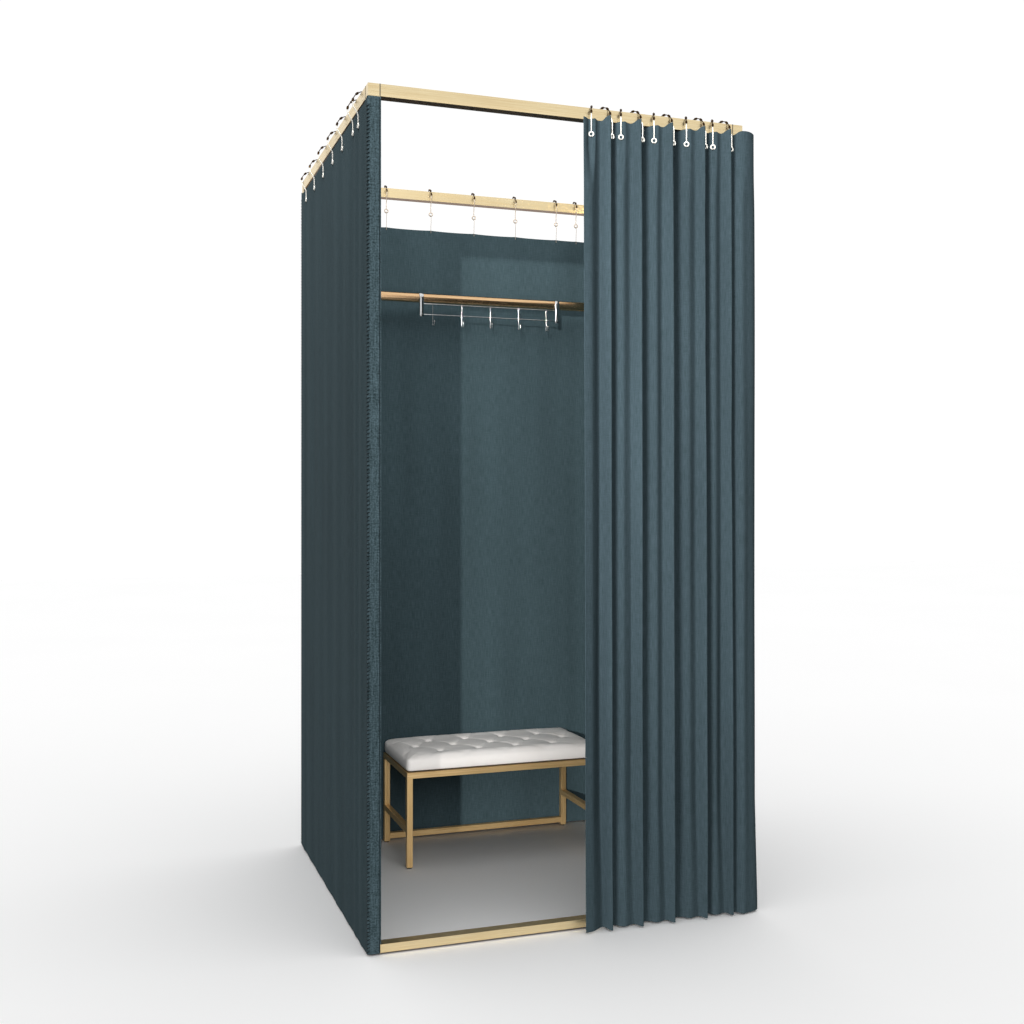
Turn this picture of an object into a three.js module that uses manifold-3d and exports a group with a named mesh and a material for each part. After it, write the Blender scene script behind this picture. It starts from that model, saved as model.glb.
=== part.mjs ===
// A portable fitting room: a square tube frame hung with curtains on roller hooks, a hanging rail with
// a slide-on hook rack, and a bench with a tufted seat. Millimetres, +Z up, the doorway faces -Y.
import * as THREE from 'three';
import { mergeVertices } from 'three/addons/utils/BufferGeometryUtils.js';
import Module from 'manifold-3d';

const wasm = await Module();
wasm.setup();

// Frame
const frameWidth = 1020;
const frameDepth = 975;
const frameHeight = 2100;
const tubeSide = 30;
const tubeWall = 1.5;
const sillHeight = 20;
const spigotLength = 45;
const seatGap = 0.3;
const overrun = 1;

// Feet under the frame
const footHeight = 5;
const footRadius = 12;
const footChamfer = 1.5;
const footSides = 16;

// Hanging rail and its two brackets
const railRadius = 15;
const railDrop = 343;
const railSetback = 72.5;
const railSides = 20;
const cupWall = 4;
const cupDepth = 16;
const cupBase = 6;
const bracketPlateThickness = 4;
const bracketPlateHeight = 60;
const bracketPlateMargin = 2;
const bracketArmSide = 14;

// Roller hooks
const hookWireRadius = 1.2;
const hookBallRadius = 2.6;
const hookArcRadius = 26;
const hookArcReachDegrees = 94;
const hookBallStepDegrees = 38;
const hookBallsEachSide = 2;
const hookLoopRadius = 6.3;
const frontRingDrop = 56;
const sideRingDrop = 82;
const backRingDrop = 60;
const shankStraight = 11;
const linkRadius = 0.8;
const linkGrip = 8;
const linkSides = 5;
const frontHookSides = 5;
const frontBallSteps = 3;
const frontLoopSteps = 10;
const wallHookSides = 4;
const wallBallSteps = 2;
const wallLoopSteps = 7;

// Cloth of all four curtains
const clothThickness = 2;
const hemLift = 5;
const wallClothDrop = 40;
const backClothDrop = 128;
const frontClothGap = 2;
const wallFoldDepth = 2.5;
const columnsBetweenHooks = 3;
const wrapWidth = 28;
const backClothMargin = 33;
const backClothSetback = 18.2;

// Places of the wall hooks, as shares of the depth or width from the middle of the frame
const sideHookShares = [-0.466, -0.395, -0.254, -0.118, 0.025, 0.176, 0.329, 0.451];
const backHookShares = [-0.454, -0.383, -0.24, -0.095, 0.049, 0.191, 0.334, 0.405];

// Front curtain, gathered to the right
const lastRingInset = 40;
const gatheredWidth = 405;
const facingShares = [0, 0.204, 0.436, 0.668, 0.86];
const turnedShares = [0.145, 0.357, 0.579, 0.81, 1];
const facingTwist = -24;
const turnedTwist = 28;
const frontReach = 32;
const crestLead = 15;
const crestNose = 9;
const crestTuck = 4;
const crestProudTop = 34;
const crestProudHem = 46;
const backFoldDepth = 21;
const backFoldShoulder = 6;
const pinchMargin = 1.5;
const leadingHem = 25;
const cornerProud = 24;
const cornerTurn = 12;
const tailLength = 34;
const tailTuck = 7;
const sillOverlap = 4;
const foldSettleHeight = 300;
const columnsPerStretch = 2;
const pinchClearance = 1.4;
const sharpestTurn = 0.6;

// Hook rack over the rail
const rackWidth = 464;
const rackCentreX = 86;
const strapWidth = 14;
const strapThickness = 2;
const strapDrop = 61;
const strapTail = 10;
const rackWireRadius = 1.5;
const upperWireDrop = 20;
const lowerWireDrop = 54;
const rackHookCount = 5;
const rackHookPitch = 97;
const rackHookRadius = 1.25;
const rackHookBend = 9;
const rackHookDrop = 82;
const rackHookRise = 5;
const rackHookBall = 3;
const rackHookBendSteps = 6;
const rackHookSides = 6;
const rackWireSides = 8;
const strapBendSteps = 10;

// Bench
const benchWidth = 624;
const benchDepth = 310;
const benchCentreX = 56;
const benchWallGap = 5.3;
const benchTube = 18;
const benchTopHeight = 285;
const benchGlideHeight = 3;
const benchGlideRadius = 8;
const sideStretcherHeight = 112;
const backStretcherHeight = 20;
const boardThickness = 6;
const boardMargin = 12;

// Cushion
const cushionThickness = 42;
const cushionRise = 7;
const cushionEdge = 10;
const cushionDrawIn = 3;
const cushionCorner = 16;
const tuftPitchX = 122;
const tuftPitchY = 75;
const tuftDepth = 8;
const tuftSpread = 15;
const pleatDepth = 2.2;
const pleatSpread = 9;
const cushionColumns = 30;
const cushionRows = 12;

const halfWidth = frameWidth / 2;
const halfDepth = frameDepth / 2;
const sideCentre = halfWidth - tubeSide / 2;
const depthCentre = halfDepth - tubeSide / 2;
const topCentre = frameHeight - tubeSide / 2;
const sillCentre = footHeight + sillHeight / 2;
const sillTop = footHeight + sillHeight;
const pinchHalf = hookLoopRadius + hookWireRadius + pinchMargin;
const backClothY = depthCentre - backClothSetback;
const benchCentreY = backClothY - clothThickness / 2 - benchWallGap - benchDepth / 2;
const firstRingX = halfWidth - lastRingInset - gatheredWidth;
const crestY = -halfDepth - crestProudTop;
const backFoldY = -halfDepth + backFoldDepth;
const railY = halfDepth - tubeSide - railSetback + tubeSide / 2;
const levels = [
  { name: 'top', z: topCentre, height: tubeSide },
  { name: 'base', z: sillCentre, height: sillHeight },
];

// Turns a closed geometry into a solid that can be joined and cut.
function solidOf(geometry) {
  const merged = mergeVertices(positionsOnly(geometry));
  return new wasm.Manifold(new wasm.Mesh({
    numProp: 3,
    vertProperties: new Float32Array(merged.attributes.position.array),
    triVerts: new Uint32Array(merged.index.array),
  }));
}

function positionsOnly(geometry) {
  const bare = geometry.clone();
  bare.deleteAttribute('normal');
  bare.deleteAttribute('uv');
  return bare;
}

function geometryOf(solid) {
  const mesh = solid.getMesh();
  return indexedGeometry(mesh.vertProperties, mesh.triVerts);
}

function indexedGeometry(positions, triangles) {
  const geometry = new THREE.BufferGeometry();
  geometry.setAttribute('position', new THREE.BufferAttribute(new Float32Array(positions), 3));
  geometry.setIndex(Array.from(triangles));
  geometry.computeVertexNormals();
  return geometry;
}

function join(geometries) {
  return geometryOf(geometries.map(solidOf).reduce((whole, piece) => whole.add(piece)));
}

function box(width, depth, height, x, y, z) {
  return new THREE.BoxGeometry(width, depth, height).translate(x, y, z);
}

function metal(color, roughness) {
  return new THREE.MeshStandardMaterial({ color, roughness, metalness: 1 });
}

function matte(color, roughness) {
  return new THREE.MeshStandardMaterial({ color, roughness, metalness: 0 });
}

const paleGold = metal('#dcc48c', 0.38);
const deepGold = metal('#b08a55', 0.4);
const copper = metal('#b98d5f', 0.3);
const hookMetal = metal('#d8c9a6', 0.3);
const silver = metal('#dfe0e0', 0.25);
const blackPlastic = matte('#1c1c1c', 0.6);
const darkBoard = matte('#2a2420', 0.8);
const curtainCloth = matte('#46575f', 0.95);
const whiteUpholstery = matte('#e4e1df', 0.7);

function named(name, geometry, material) {
  const mesh = new THREE.Mesh(geometry, material);
  mesh.name = name;
  return mesh;
}

// An open square tube that runs along Z, centred on its own origin.
function tube(width, depth, length) {
  const outline = new THREE.Shape();
  outline.moveTo(-width / 2, -depth / 2);
  outline.lineTo(width / 2, -depth / 2);
  outline.lineTo(width / 2, depth / 2);
  outline.lineTo(-width / 2, depth / 2);
  outline.closePath();
  const bore = new THREE.Path();
  const boreX = width / 2 - tubeWall;
  const boreY = depth / 2 - tubeWall;
  bore.moveTo(-boreX, -boreY);
  bore.lineTo(-boreX, boreY);
  bore.lineTo(boreX, boreY);
  bore.lineTo(boreX, -boreY);
  bore.closePath();
  outline.holes.push(bore);
  const walls = new THREE.ExtrudeGeometry(outline, { depth: length, bevelEnabled: false });
  return walls.translate(0, 0, -length / 2);
}

function crossTube(depth, length) {
  return tube(depth, tubeSide, length).rotateY(Math.PI / 2);
}

function depthTube(height, length) {
  return tube(tubeSide, height, length).rotateX(Math.PI / 2);
}

// A corner block with a spigot for each of the three tubes that meet there. It points to +X, +Y and up.
function cornerBlock(height, upright) {
  const spigotSide = tubeSide - 2 * tubeWall - 2 * seatGap;
  const spigotHeight = height - 2 * tubeWall - 2 * seatGap;
  const reach = tubeSide / 2 + spigotLength / 2 - overrun / 2;
  const rise = height / 2 + spigotLength / 2 - overrun / 2;
  const length = spigotLength + overrun;
  return join([
    box(tubeSide, tubeSide, height, 0, 0, 0),
    box(length, spigotSide, spigotHeight, reach, 0, 0),
    box(spigotSide, length, spigotHeight, 0, reach, 0),
    box(spigotSide, spigotSide, length, 0, 0, upright * rise),
  ]);
}

// Quarter turns that bring the block's spigots round to face the middle of the frame.
const corners = [
  { name: 'front_left', x: -1, y: -1, turn: 0 },
  { name: 'front_right', x: 1, y: -1, turn: Math.PI / 2 },
  { name: 'back_right', x: 1, y: 1, turn: Math.PI },
  { name: 'back_left', x: -1, y: 1, turn: -Math.PI / 2 },
];

function cornerPieces() {
  const group = new THREE.Group();
  const postBottom = sillTop + seatGap;
  const postTop = frameHeight - tubeSide - seatGap;
  for (const corner of corners) {
    const place = new THREE.Group();
    place.position.set(corner.x * sideCentre, corner.y * depthCentre, 0);
    const post = named(`post_${corner.name}`, tube(tubeSide, tubeSide, postTop - postBottom), paleGold);
    post.position.z = (postBottom + postTop) / 2;
    const upper = named(`corner_top_${corner.name}`, cornerBlock(tubeSide, -1), paleGold);
    upper.position.z = topCentre;
    upper.rotation.z = corner.turn;
    const lower = named(`corner_base_${corner.name}`, cornerBlock(sillHeight, 1), paleGold);
    lower.position.z = sillCentre;
    lower.rotation.z = corner.turn;
    place.add(post, upper, lower, named(`foot_${corner.name}`, foot(), blackPlastic));
    group.add(place);
  }
  return group;
}

function foot() {
  const top = footHeight - seatGap;
  const profile = [
    new THREE.Vector2(0, 0),
    new THREE.Vector2(footRadius - footChamfer, 0),
    new THREE.Vector2(footRadius, footChamfer),
    new THREE.Vector2(footRadius, top),
    new THREE.Vector2(0, top),
  ];
  return new THREE.LatheGeometry(profile, footSides).rotateX(Math.PI / 2);
}

function frameRails() {
  const group = new THREE.Group();
  const acrossLength = frameWidth - 2 * tubeSide - 2 * seatGap;
  const alongLength = frameDepth - 2 * tubeSide - 2 * seatGap;
  for (const level of levels) {
    for (const side of [{ name: 'front', y: -1 }, { name: 'back', y: 1 }]) {
      const rail = named(`rail_${level.name}_${side.name}`, crossTube(level.height, acrossLength), paleGold);
      rail.position.set(0, side.y * depthCentre, level.z);
      group.add(rail);
    }
    for (const side of [{ name: 'left', x: -1 }, { name: 'right', x: 1 }]) {
      const rail = named(`rail_${level.name}_${side.name}`, depthTube(level.height, alongLength), paleGold);
      rail.position.set(side.x * sideCentre, 0, level.z);
      group.add(rail);
    }
  }
  return group;
}

// The cup's mouth faces +X, and its arm runs back to a plate on the face of the back post.
function railBracket() {
  const cupRadius = railRadius + seatGap + cupWall;
  const cup = new THREE.LatheGeometry([
    new THREE.Vector2(0, 0),
    new THREE.Vector2(cupRadius, 0),
    new THREE.Vector2(cupRadius, cupBase + cupDepth),
    new THREE.Vector2(railRadius + seatGap, cupBase + cupDepth),
    new THREE.Vector2(railRadius + seatGap, cupBase),
    new THREE.Vector2(0, cupBase),
  ], railSides).rotateZ(-Math.PI / 2);
  const plateFace = halfDepth - tubeSide - seatGap - railY;
  const plateBack = plateFace - bracketPlateThickness;
  const armStart = railRadius + seatGap + cupWall / 2;
  const armX = bracketArmSide / 2 + bracketPlateMargin;
  const plateWidth = tubeSide - 2 * bracketPlateMargin;
  const armEnd = plateBack + overrun;
  const arm = box(bracketArmSide, armEnd - armStart, bracketArmSide, armX, (armEnd + armStart) / 2, 0);
  const plateY = (plateFace + plateBack) / 2;
  const plate = box(plateWidth, bracketPlateThickness, bracketPlateHeight, plateWidth / 2, plateY, 0);
  return join([cup, arm, plate]);
}

function hangingRail() {
  const group = new THREE.Group();
  group.position.set(0, railY, topCentre - railDrop);
  const bracketX = halfWidth - bracketPlateMargin;
  const railLength = 2 * (bracketX - cupBase - seatGap);
  const bar = new THREE.CylinderGeometry(railRadius, railRadius, railLength, railSides).rotateZ(Math.PI / 2);
  const left = named('rail_bracket_left', railBracket(), paleGold);
  left.position.x = -bracketX;
  const right = named('rail_bracket_right', mirrored(railBracket()), paleGold);
  right.position.x = bracketX;
  group.add(named('hanging_rail', bar, copper), left, right);
  return group;
}

function mirrored(geometry) {
  const positions = Array.from(geometry.attributes.position.array);
  for (let i = 0; i < positions.length; i += 3) positions[i] = -positions[i];
  const triangles = Array.from(geometry.index.array).reverse();
  return indexedGeometry(positions, triangles);
}

// A wire with a round section that may swell along its length. Each station has a point and a radius.
function sweptWire(stations, sides) {
  const positions = [];
  const triangles = [];
  const side = new THREE.Vector3(1, 0, 0);
  const up = new THREE.Vector3();
  const heading = new THREE.Vector3();
  stations.forEach((station, i) => {
    const before = stations[Math.max(i - 1, 0)].point;
    const after = stations[Math.min(i + 1, stations.length - 1)].point;
    heading.subVectors(after, before).normalize();
    side.addScaledVector(heading, -side.dot(heading)).normalize();
    up.crossVectors(heading, side);
    for (let k = 0; k < sides; k += 1) {
      const angle = (2 * Math.PI * k) / sides;
      const corner = station.point.clone();
      corner.addScaledVector(side, station.radius * Math.cos(angle));
      corner.addScaledVector(up, station.radius * Math.sin(angle));
      positions.push(corner.x, corner.y, corner.z);
    }
  });
  for (let i = 0; i + 1 < stations.length; i += 1) {
    for (let k = 0; k < sides; k += 1) {
      const a = i * sides + k;
      const b = i * sides + ((k + 1) % sides);
      triangles.push(a, b, a + sides, b, b + sides, a + sides);
    }
  }
  const last = (stations.length - 1) * sides;
  for (let k = 1; k + 1 < sides; k += 1) {
    triangles.push(0, k + 1, k, last, last + k, last + k + 1);
  }
  return indexedGeometry(positions, triangles);
}

function radians(degrees) {
  return THREE.MathUtils.degToRad(degrees);
}

// How high the arc's centre sits above the middle of the tube when the hook rests on the tube's top.
function hookSeatHeight(twist) {
  const halfAcross = tubeSide / 2 / Math.cos(radians(twist));
  const ballAngles = hookBallAngles();
  let height = -Infinity;
  for (let angle = 0; angle <= hookArcReachDegrees; angle += 1) {
    const nearBall = ballAngles.some((ball) => Math.abs(ball - angle) < 1);
    const clearance = (nearBall ? hookBallRadius : hookWireRadius) + seatGap;
    const out = hookArcRadius * Math.sin(radians(angle));
    const beyond = Math.max(out - halfAcross, 0) * Math.cos(radians(twist));
    if (beyond < clearance) {
      const above = Math.sqrt(clearance ** 2 - beyond ** 2);
      height = Math.max(height, tubeSide / 2 + above - hookArcRadius * Math.cos(radians(angle)));
    }
  }
  return height;
}

function hookBallAngles() {
  const angles = [];
  for (let i = -hookBallsEachSide; i <= hookBallsEachSide; i += 1) angles.push(i * hookBallStepDegrees);
  return angles;
}

// A roller hook in the plane X = 0 round a tube along X, with its shank on the -Y side. The origin is in
// the middle of the tube. The loop hangs ringDrop below it and lies reach outside it, and the shank is
// straight from shankDrop below it.
function rollerHook({ twist, ringDrop, shankDrop, reach, sides, ballSteps, loopSteps }) {
  const centre = hookSeatHeight(twist);
  const onArc = (angle) => new THREE.Vector3(
    0, -hookArcRadius * Math.sin(radians(angle)), centre + hookArcRadius * Math.cos(radians(angle)));
  const ballHalfAngle = THREE.MathUtils.radToDeg(hookBallRadius / hookArcRadius);
  const stations = [{ point: onArc(-hookArcReachDegrees), radius: hookWireRadius }];
  for (const angle of hookBallAngles()) {
    for (let step = 0; step <= ballSteps; step += 1) {
      const along = (2 * step) / ballSteps - 1;
      const swell = Math.max(hookWireRadius, hookBallRadius * Math.sqrt(1 - along * along));
      stations.push({ point: onArc(angle + along * ballHalfAngle), radius: swell });
    }
  }
  stations.push({ point: onArc(hookArcReachDegrees), radius: hookWireRadius });
  stations.push({ point: new THREE.Vector3(0, -reach, -shankDrop), radius: hookWireRadius });
  for (let step = 0; step < loopSteps; step += 1) {
    const angle = (2 * Math.PI * step) / loopSteps;
    const point = new THREE.Vector3(
      hookLoopRadius * Math.sin(angle), -reach, hookLoopRadius * Math.cos(angle) - ringDrop);
    stations.push({ point, radius: hookWireRadius });
  }
  return sweptWire(stations, sides);
}

function frontHook(twist) {
  return rollerHook({
    twist,
    ringDrop: frontRingDrop,
    shankDrop: tubeSide / 2,
    reach: frontReach,
    sides: frontHookSides,
    ballSteps: frontBallSteps,
    loopSteps: frontLoopSteps,
  });
}

function wallHook(ringDrop, reach) {
  return rollerHook({
    twist: 0,
    ringDrop,
    shankDrop: ringDrop - hookLoopRadius - shankStraight,
    reach,
    sides: wallHookSides,
    ballSteps: wallBallSteps,
    loopSteps: wallLoopSteps,
  });
}

// The ring places of the front curtain's hooks, from the leading hook to the last.
function frontHooks() {
  const hooks = [];
  facingShares.forEach((share, i) => {
    hooks.push({ ringX: firstRingX + share * gatheredWidth, twist: facingTwist });
    hooks.push({ ringX: firstRingX + turnedShares[i] * gatheredWidth, twist: turnedTwist });
  });
  return hooks;
}

function hookOutward(twist) {
  return new THREE.Vector2(Math.sin(radians(twist)), -Math.cos(radians(twist)));
}

function frontHookMeshes() {
  const group = new THREE.Group();
  group.position.set(0, -depthCentre, topCentre);
  frontHooks().forEach((hook, i) => {
    const number = String(i + 1).padStart(2, '0');
    const mesh = named(`front_hook_${number}`, frontHook(hook.twist), hookMetal);
    mesh.rotation.z = radians(hook.twist);
    mesh.position.x = hook.ringX - hookOutward(hook.twist).x * frontReach;
    group.add(mesh);
  });
  return group;
}

// Where the cloth passes just behind a ring, on the two sides of the ring's middle.
function pinchPoints(hook) {
  const outward = hookOutward(hook.twist);
  const behind = hookWireRadius + pinchClearance + clothThickness / 2;
  const middle = new THREE.Vector2(hook.ringX, -depthCentre).addScaledVector(outward, -behind);
  middle.y += outward.y * frontReach;
  const along = new THREE.Vector2(-outward.y, outward.x);
  return [
    middle.clone().addScaledVector(along, -pinchHalf),
    middle.clone().addScaledVector(along, pinchHalf),
  ];
}

// The front curtain's top line seen from above: front folds between a facing ring and the turned ring
// after it, back folds from there to the next facing ring, and a tail round the corner post.
function pleatLine() {
  const hooks = frontHooks();
  const points = [];
  hooks.forEach((hook, i) => {
    const [left, right] = pinchPoints(hook);
    const facing = hook.twist === facingTwist;
    if (i === 0) {
      points.push(new THREE.Vector2(hook.ringX - leadingHem, (crestY + left.y) / 2 - pinchHalf));
    }
    points.push(left, right);
    if (facing) {
      const crestX = hooks[i + 1].ringX - crestLead;
      points.push(new THREE.Vector2((right.x + crestX) / 2, (2 * right.y + crestY) / 3));
      points.push(new THREE.Vector2(crestX - crestNose, crestY + crestTuck));
      points.push(new THREE.Vector2(crestX, crestY));
      points.push(new THREE.Vector2(crestX + crestTuck, crestY + crestNose));
      points.push(new THREE.Vector2(crestX + crestTuck, (crestY + left.y) / 2 + crestTuck));
    } else if (i + 1 < hooks.length) {
      const next = pinchPoints(hooks[i + 1])[0];
      const shoulderY = backFoldY - backFoldShoulder;
      points.push(new THREE.Vector2((3 * right.x + next.x) / 4, shoulderY));
      points.push(new THREE.Vector2((right.x + next.x) / 2, backFoldY));
      points.push(new THREE.Vector2((right.x + 3 * next.x) / 4, shoulderY));
    }
  });
  const cornerX = halfWidth + cornerProud;
  points.push(new THREE.Vector2(halfWidth - crestNose, (2 * crestY - halfDepth) / 3));
  points.push(new THREE.Vector2(cornerX - cornerTurn, crestY));
  points.push(new THREE.Vector2(cornerX, crestY + cornerTurn));
  points.push(new THREE.Vector2(cornerX - crestTuck, crestY + tailLength));
  points.push(new THREE.Vector2(halfWidth + tailTuck, crestY + tailLength + cornerTurn));
  const level = points.map((point) => new THREE.Vector3(point.x, point.y, 0));
  return new THREE.CatmullRomCurve3(level, false, 'centripetal');
}

// A point of the cloth. Below the rings the crests swing out, and near the hem the back folds come forward,
// because the sill keeps the cloth out of the doorway.
function frontClothPoint(place, height, ringBottom) {
  const depthShare = (place.y - crestY) / (backFoldY - crestY);
  const flareShare = Math.max(1 - (height - hemLift) / (ringBottom - hemLift), 0);
  const front = THREE.MathUtils.lerp(crestY, -halfDepth - crestProudHem, flareShare);
  const back = height < foldSettleHeight ? -halfDepth - seatGap - clothThickness : backFoldY;
  return new THREE.Vector3(place.x, THREE.MathUtils.lerp(front, back, depthShare), height);
}

function headingBetween(start, end) {
  return new THREE.Vector2(end.x - start.x, end.y - start.y).normalize();
}

// A closed sheet of even thickness from rows of points, each row from left to right.
function thickSheet(rows, thickness) {
  const columns = rows[0].length;
  const positions = [];
  const triangles = [];
  for (const face of [-1, 1]) {
    for (const row of rows) {
      row.forEach((point, i) => {
        const next = Math.min(i, columns - 2);
        const heading = headingBetween(row[next], row[next + 1]);
        const previous = Math.max(i - 1, 0);
        const across = headingBetween(row[previous], row[previous + 1]).add(heading).normalize();
        const offset = (face * thickness) / 2 / Math.max(across.dot(heading), sharpestTurn);
        positions.push(point.x - across.y * offset, point.y + across.x * offset, point.z);
      });
    }
  }
  const back = rows.length * columns;
  const quad = (a, b, c, d) => triangles.push(a, b, c, a, c, d);
  for (let r = 0; r + 1 < rows.length; r += 1) {
    for (let i = 0; i + 1 < columns; i += 1) {
      const a = r * columns + i;
      quad(a, a + 1, a + columns + 1, a + columns);
      quad(back + a + 1, back + a, back + a + columns, back + a + columns + 1);
    }
    const left = r * columns;
    const right = left + columns - 1;
    quad(left, left + columns, back + left + columns, back + left);
    quad(right + columns, right, back + right, back + right + columns);
  }
  const top = (rows.length - 1) * columns;
  for (let i = 0; i + 1 < columns; i += 1) {
    quad(i + 1, i, back + i, back + i + 1);
    quad(top + i, top + i + 1, back + top + i + 1, back + top + i);
  }
  return indexedGeometry(positions, triangles);
}

function frontCurtain() {
  const line = pleatLine();
  const columns = columnsPerStretch * (line.points.length - 1);
  const ringBottom = topCentre - frontRingDrop - pinchHalf;
  const top = frameHeight - tubeSide - frontClothGap;
  const rows = [hemLift, sillTop + sillOverlap, foldSettleHeight, ringBottom, top].map((height) => {
    const row = [];
    for (let i = 0; i <= columns; i += 1) {
      row.push(frontClothPoint(line.getPoint(i / columns), height, ringBottom));
    }
    return row;
  });
  return named('front_curtain', thickSheet(rows, clothThickness), curtainCloth);
}

// Places along a wall curtain, with how far it swells outward there: nothing at the hooks.
function swellStations(start, hookPlaces, end) {
  const stops = [start, ...hookPlaces, end];
  const stations = [];
  for (let i = 0; i + 1 < stops.length; i += 1) {
    for (let k = 0; k < columnsBetweenHooks; k += 1) {
      const share = k / columnsBetweenHooks;
      const swell = wallFoldDepth * Math.sin(Math.PI * share) ** 2;
      stations.push({ along: THREE.MathUtils.lerp(stops[i], stops[i + 1], share), swell });
    }
  }
  stations.push({ along: end, swell: 0 });
  return stations;
}

// The left curtain. It hangs outside the posts, and both edges turn round them.
function sideCurtain() {
  const outside = -halfWidth - seatGap - clothThickness / 2;
  const around = halfDepth + seatGap + clothThickness / 2;
  const hooks = sideHookShares.map((share) => share * frameDepth);
  const upper = frameHeight - wallClothDrop;
  const wrapTop = frameHeight - tubeSide - frontClothGap;
  const line = [
    new THREE.Vector3(-halfWidth + wrapWidth, -around, wrapTop),
    new THREE.Vector3(outside, -around, wrapTop),
  ];
  for (const { along, swell } of swellStations(-halfDepth + tubeSide, hooks, halfDepth - tubeSide)) {
    line.push(new THREE.Vector3(outside - swell, along, upper));
  }
  line.push(new THREE.Vector3(outside, around, upper));
  line.push(new THREE.Vector3(-halfWidth + wrapWidth, around, upper));
  line.reverse();
  const cloth = hangingSheet(line);
  const reach = -sideCentre - outside;
  const hook = wallHook(sideRingDrop, reach).rotateZ(-Math.PI / 2);
  const hang = (y) => hook.clone().translate(-sideCentre, y, topCentre);
  return join([cloth, ...hooks.map(hang)]);
}

function hangingSheet(topLine) {
  const hem = topLine.map((point) => new THREE.Vector3(point.x, point.y, hemLift));
  return thickSheet([hem, topLine], clothThickness);
}

// The back curtain hangs inside the frame, lower than the others, from a wire link at each hook.
function backCurtain() {
  const edge = halfWidth - backClothMargin;
  const hooks = backHookShares.map((share) => share * frameWidth);
  const upper = frameHeight - backClothDrop;
  const line = swellStations(-edge, hooks, edge).map(
    ({ along, swell }) => new THREE.Vector3(along, backClothY - swell, upper));
  const linkTop = topCentre - backRingDrop - hookLoopRadius;
  const linkLength = linkTop - upper + linkGrip;
  const link = (x) => new THREE.CylinderGeometry(linkRadius, linkRadius, linkLength, linkSides)
    .rotateX(Math.PI / 2).translate(x, backClothY, linkTop - linkLength / 2);
  const hang = (x) => wallHook(backRingDrop, backClothSetback).translate(x, depthCentre, topCentre);
  return join([hangingSheet(line), ...hooks.map(hang), ...hooks.map(link)]);
}

function wallCurtains() {
  const group = new THREE.Group();
  group.add(named('curtain_left', sideCurtain(), curtainCloth));
  group.add(named('curtain_right', mirrored(sideCurtain()), curtainCloth));
  group.add(named('curtain_back', backCurtain(), curtainCloth));
  return group;
}

// A flat strap bent over the rail, in the plane X = 0 about the rail's middle.
function rackStrap() {
  const inner = railRadius + seatGap;
  const outer = inner + strapThickness;
  const outline = new THREE.Shape();
  outline.moveTo(-inner, -strapDrop);
  outline.lineTo(-inner, 0);
  outline.absarc(0, 0, inner, Math.PI, 0, true);
  outline.lineTo(inner, -strapTail);
  outline.lineTo(outer, -strapTail);
  outline.lineTo(outer, 0);
  outline.absarc(0, 0, outer, 0, Math.PI, false);
  outline.lineTo(-outer, -strapDrop);
  outline.closePath();
  const strap = new THREE.ExtrudeGeometry(outline, {
    depth: strapWidth,
    bevelEnabled: false,
    curveSegments: strapBendSteps,
  });
  return strap.translate(0, 0, -strapWidth / 2).rotateX(Math.PI / 2).rotateZ(Math.PI / 2);
}

// A coat hook of wire: down behind the cross wires, round a bend to the front and up to a round tip.
function rackHook() {
  const points = [
    new THREE.Vector3(0, 0, -upperWireDrop + rackWireRadius),
    new THREE.Vector3(0, 0, -rackHookDrop),
  ];
  for (let step = 1; step <= rackHookBendSteps; step += 1) {
    const angle = (Math.PI * step) / rackHookBendSteps;
    const y = -rackHookBend * (1 - Math.cos(angle));
    points.push(new THREE.Vector3(0, y, -rackHookDrop - rackHookBend * Math.sin(angle)));
  }
  const end = new THREE.Vector3(0, -2 * rackHookBend, -rackHookDrop + rackHookRise);
  points.push(end);
  const wire = sweptWire(points.map((point) => ({ point, radius: rackHookRadius })), rackHookSides);
  const tip = new THREE.SphereGeometry(rackHookBall, rackWireSides, rackHookSides);
  return join([wire, tip.translate(end.x, end.y, end.z)]);
}

function rack() {
  const group = new THREE.Group();
  group.position.set(rackCentreX, railY, topCentre - railDrop);
  for (const side of [{ name: 'left', x: -1 }, { name: 'right', x: 1 }]) {
    const strap = named(`rack_strap_${side.name}`, rackStrap(), silver);
    strap.position.x = (side.x * rackWidth) / 2;
    group.add(strap);
  }
  const wireY = -railRadius + rackWireRadius;
  for (const wire of [{ name: 'upper', drop: upperWireDrop }, { name: 'lower', drop: lowerWireDrop }]) {
    const length = rackWidth + strapWidth;
    const bar = new THREE.CylinderGeometry(rackWireRadius, rackWireRadius, length, rackWireSides);
    const mesh = named(`rack_wire_${wire.name}`, bar.rotateZ(Math.PI / 2), silver);
    mesh.position.set(0, wireY, -wire.drop);
    group.add(mesh);
  }
  const hookY = wireY + rackWireRadius + rackHookRadius + seatGap;
  for (let i = 0; i < rackHookCount; i += 1) {
    const hook = named(`rack_hook_${i + 1}`, rackHook(), silver);
    hook.position.set((i - (rackHookCount - 1) / 2) * rackHookPitch, hookY, 0);
    group.add(hook);
  }
  return group;
}

function benchFrame() {
  const legX = benchWidth / 2 - benchTube / 2;
  const legY = benchDepth / 2 - benchTube / 2;
  const legBottom = benchGlideHeight + seatGap;
  const legHeight = benchTopHeight - legBottom;
  const topRail = benchTopHeight - benchTube / 2;
  const bars = [
    box(benchWidth, benchTube, benchTube, 0, -legY, topRail),
    box(benchWidth, benchTube, benchTube, 0, legY, topRail),
    box(benchWidth - benchTube, benchTube, benchTube, 0, legY, backStretcherHeight),
  ];
  for (const side of [-1, 1]) {
    bars.push(box(benchTube, benchDepth, benchTube, side * legX, 0, topRail));
    bars.push(box(benchTube, benchDepth - benchTube, benchTube, side * legX, 0, sideStretcherHeight));
    for (const end of [-1, 1]) {
      bars.push(box(benchTube, benchTube, legHeight, side * legX, end * legY, legBottom + legHeight / 2));
    }
  }
  return join(bars);
}

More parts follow.
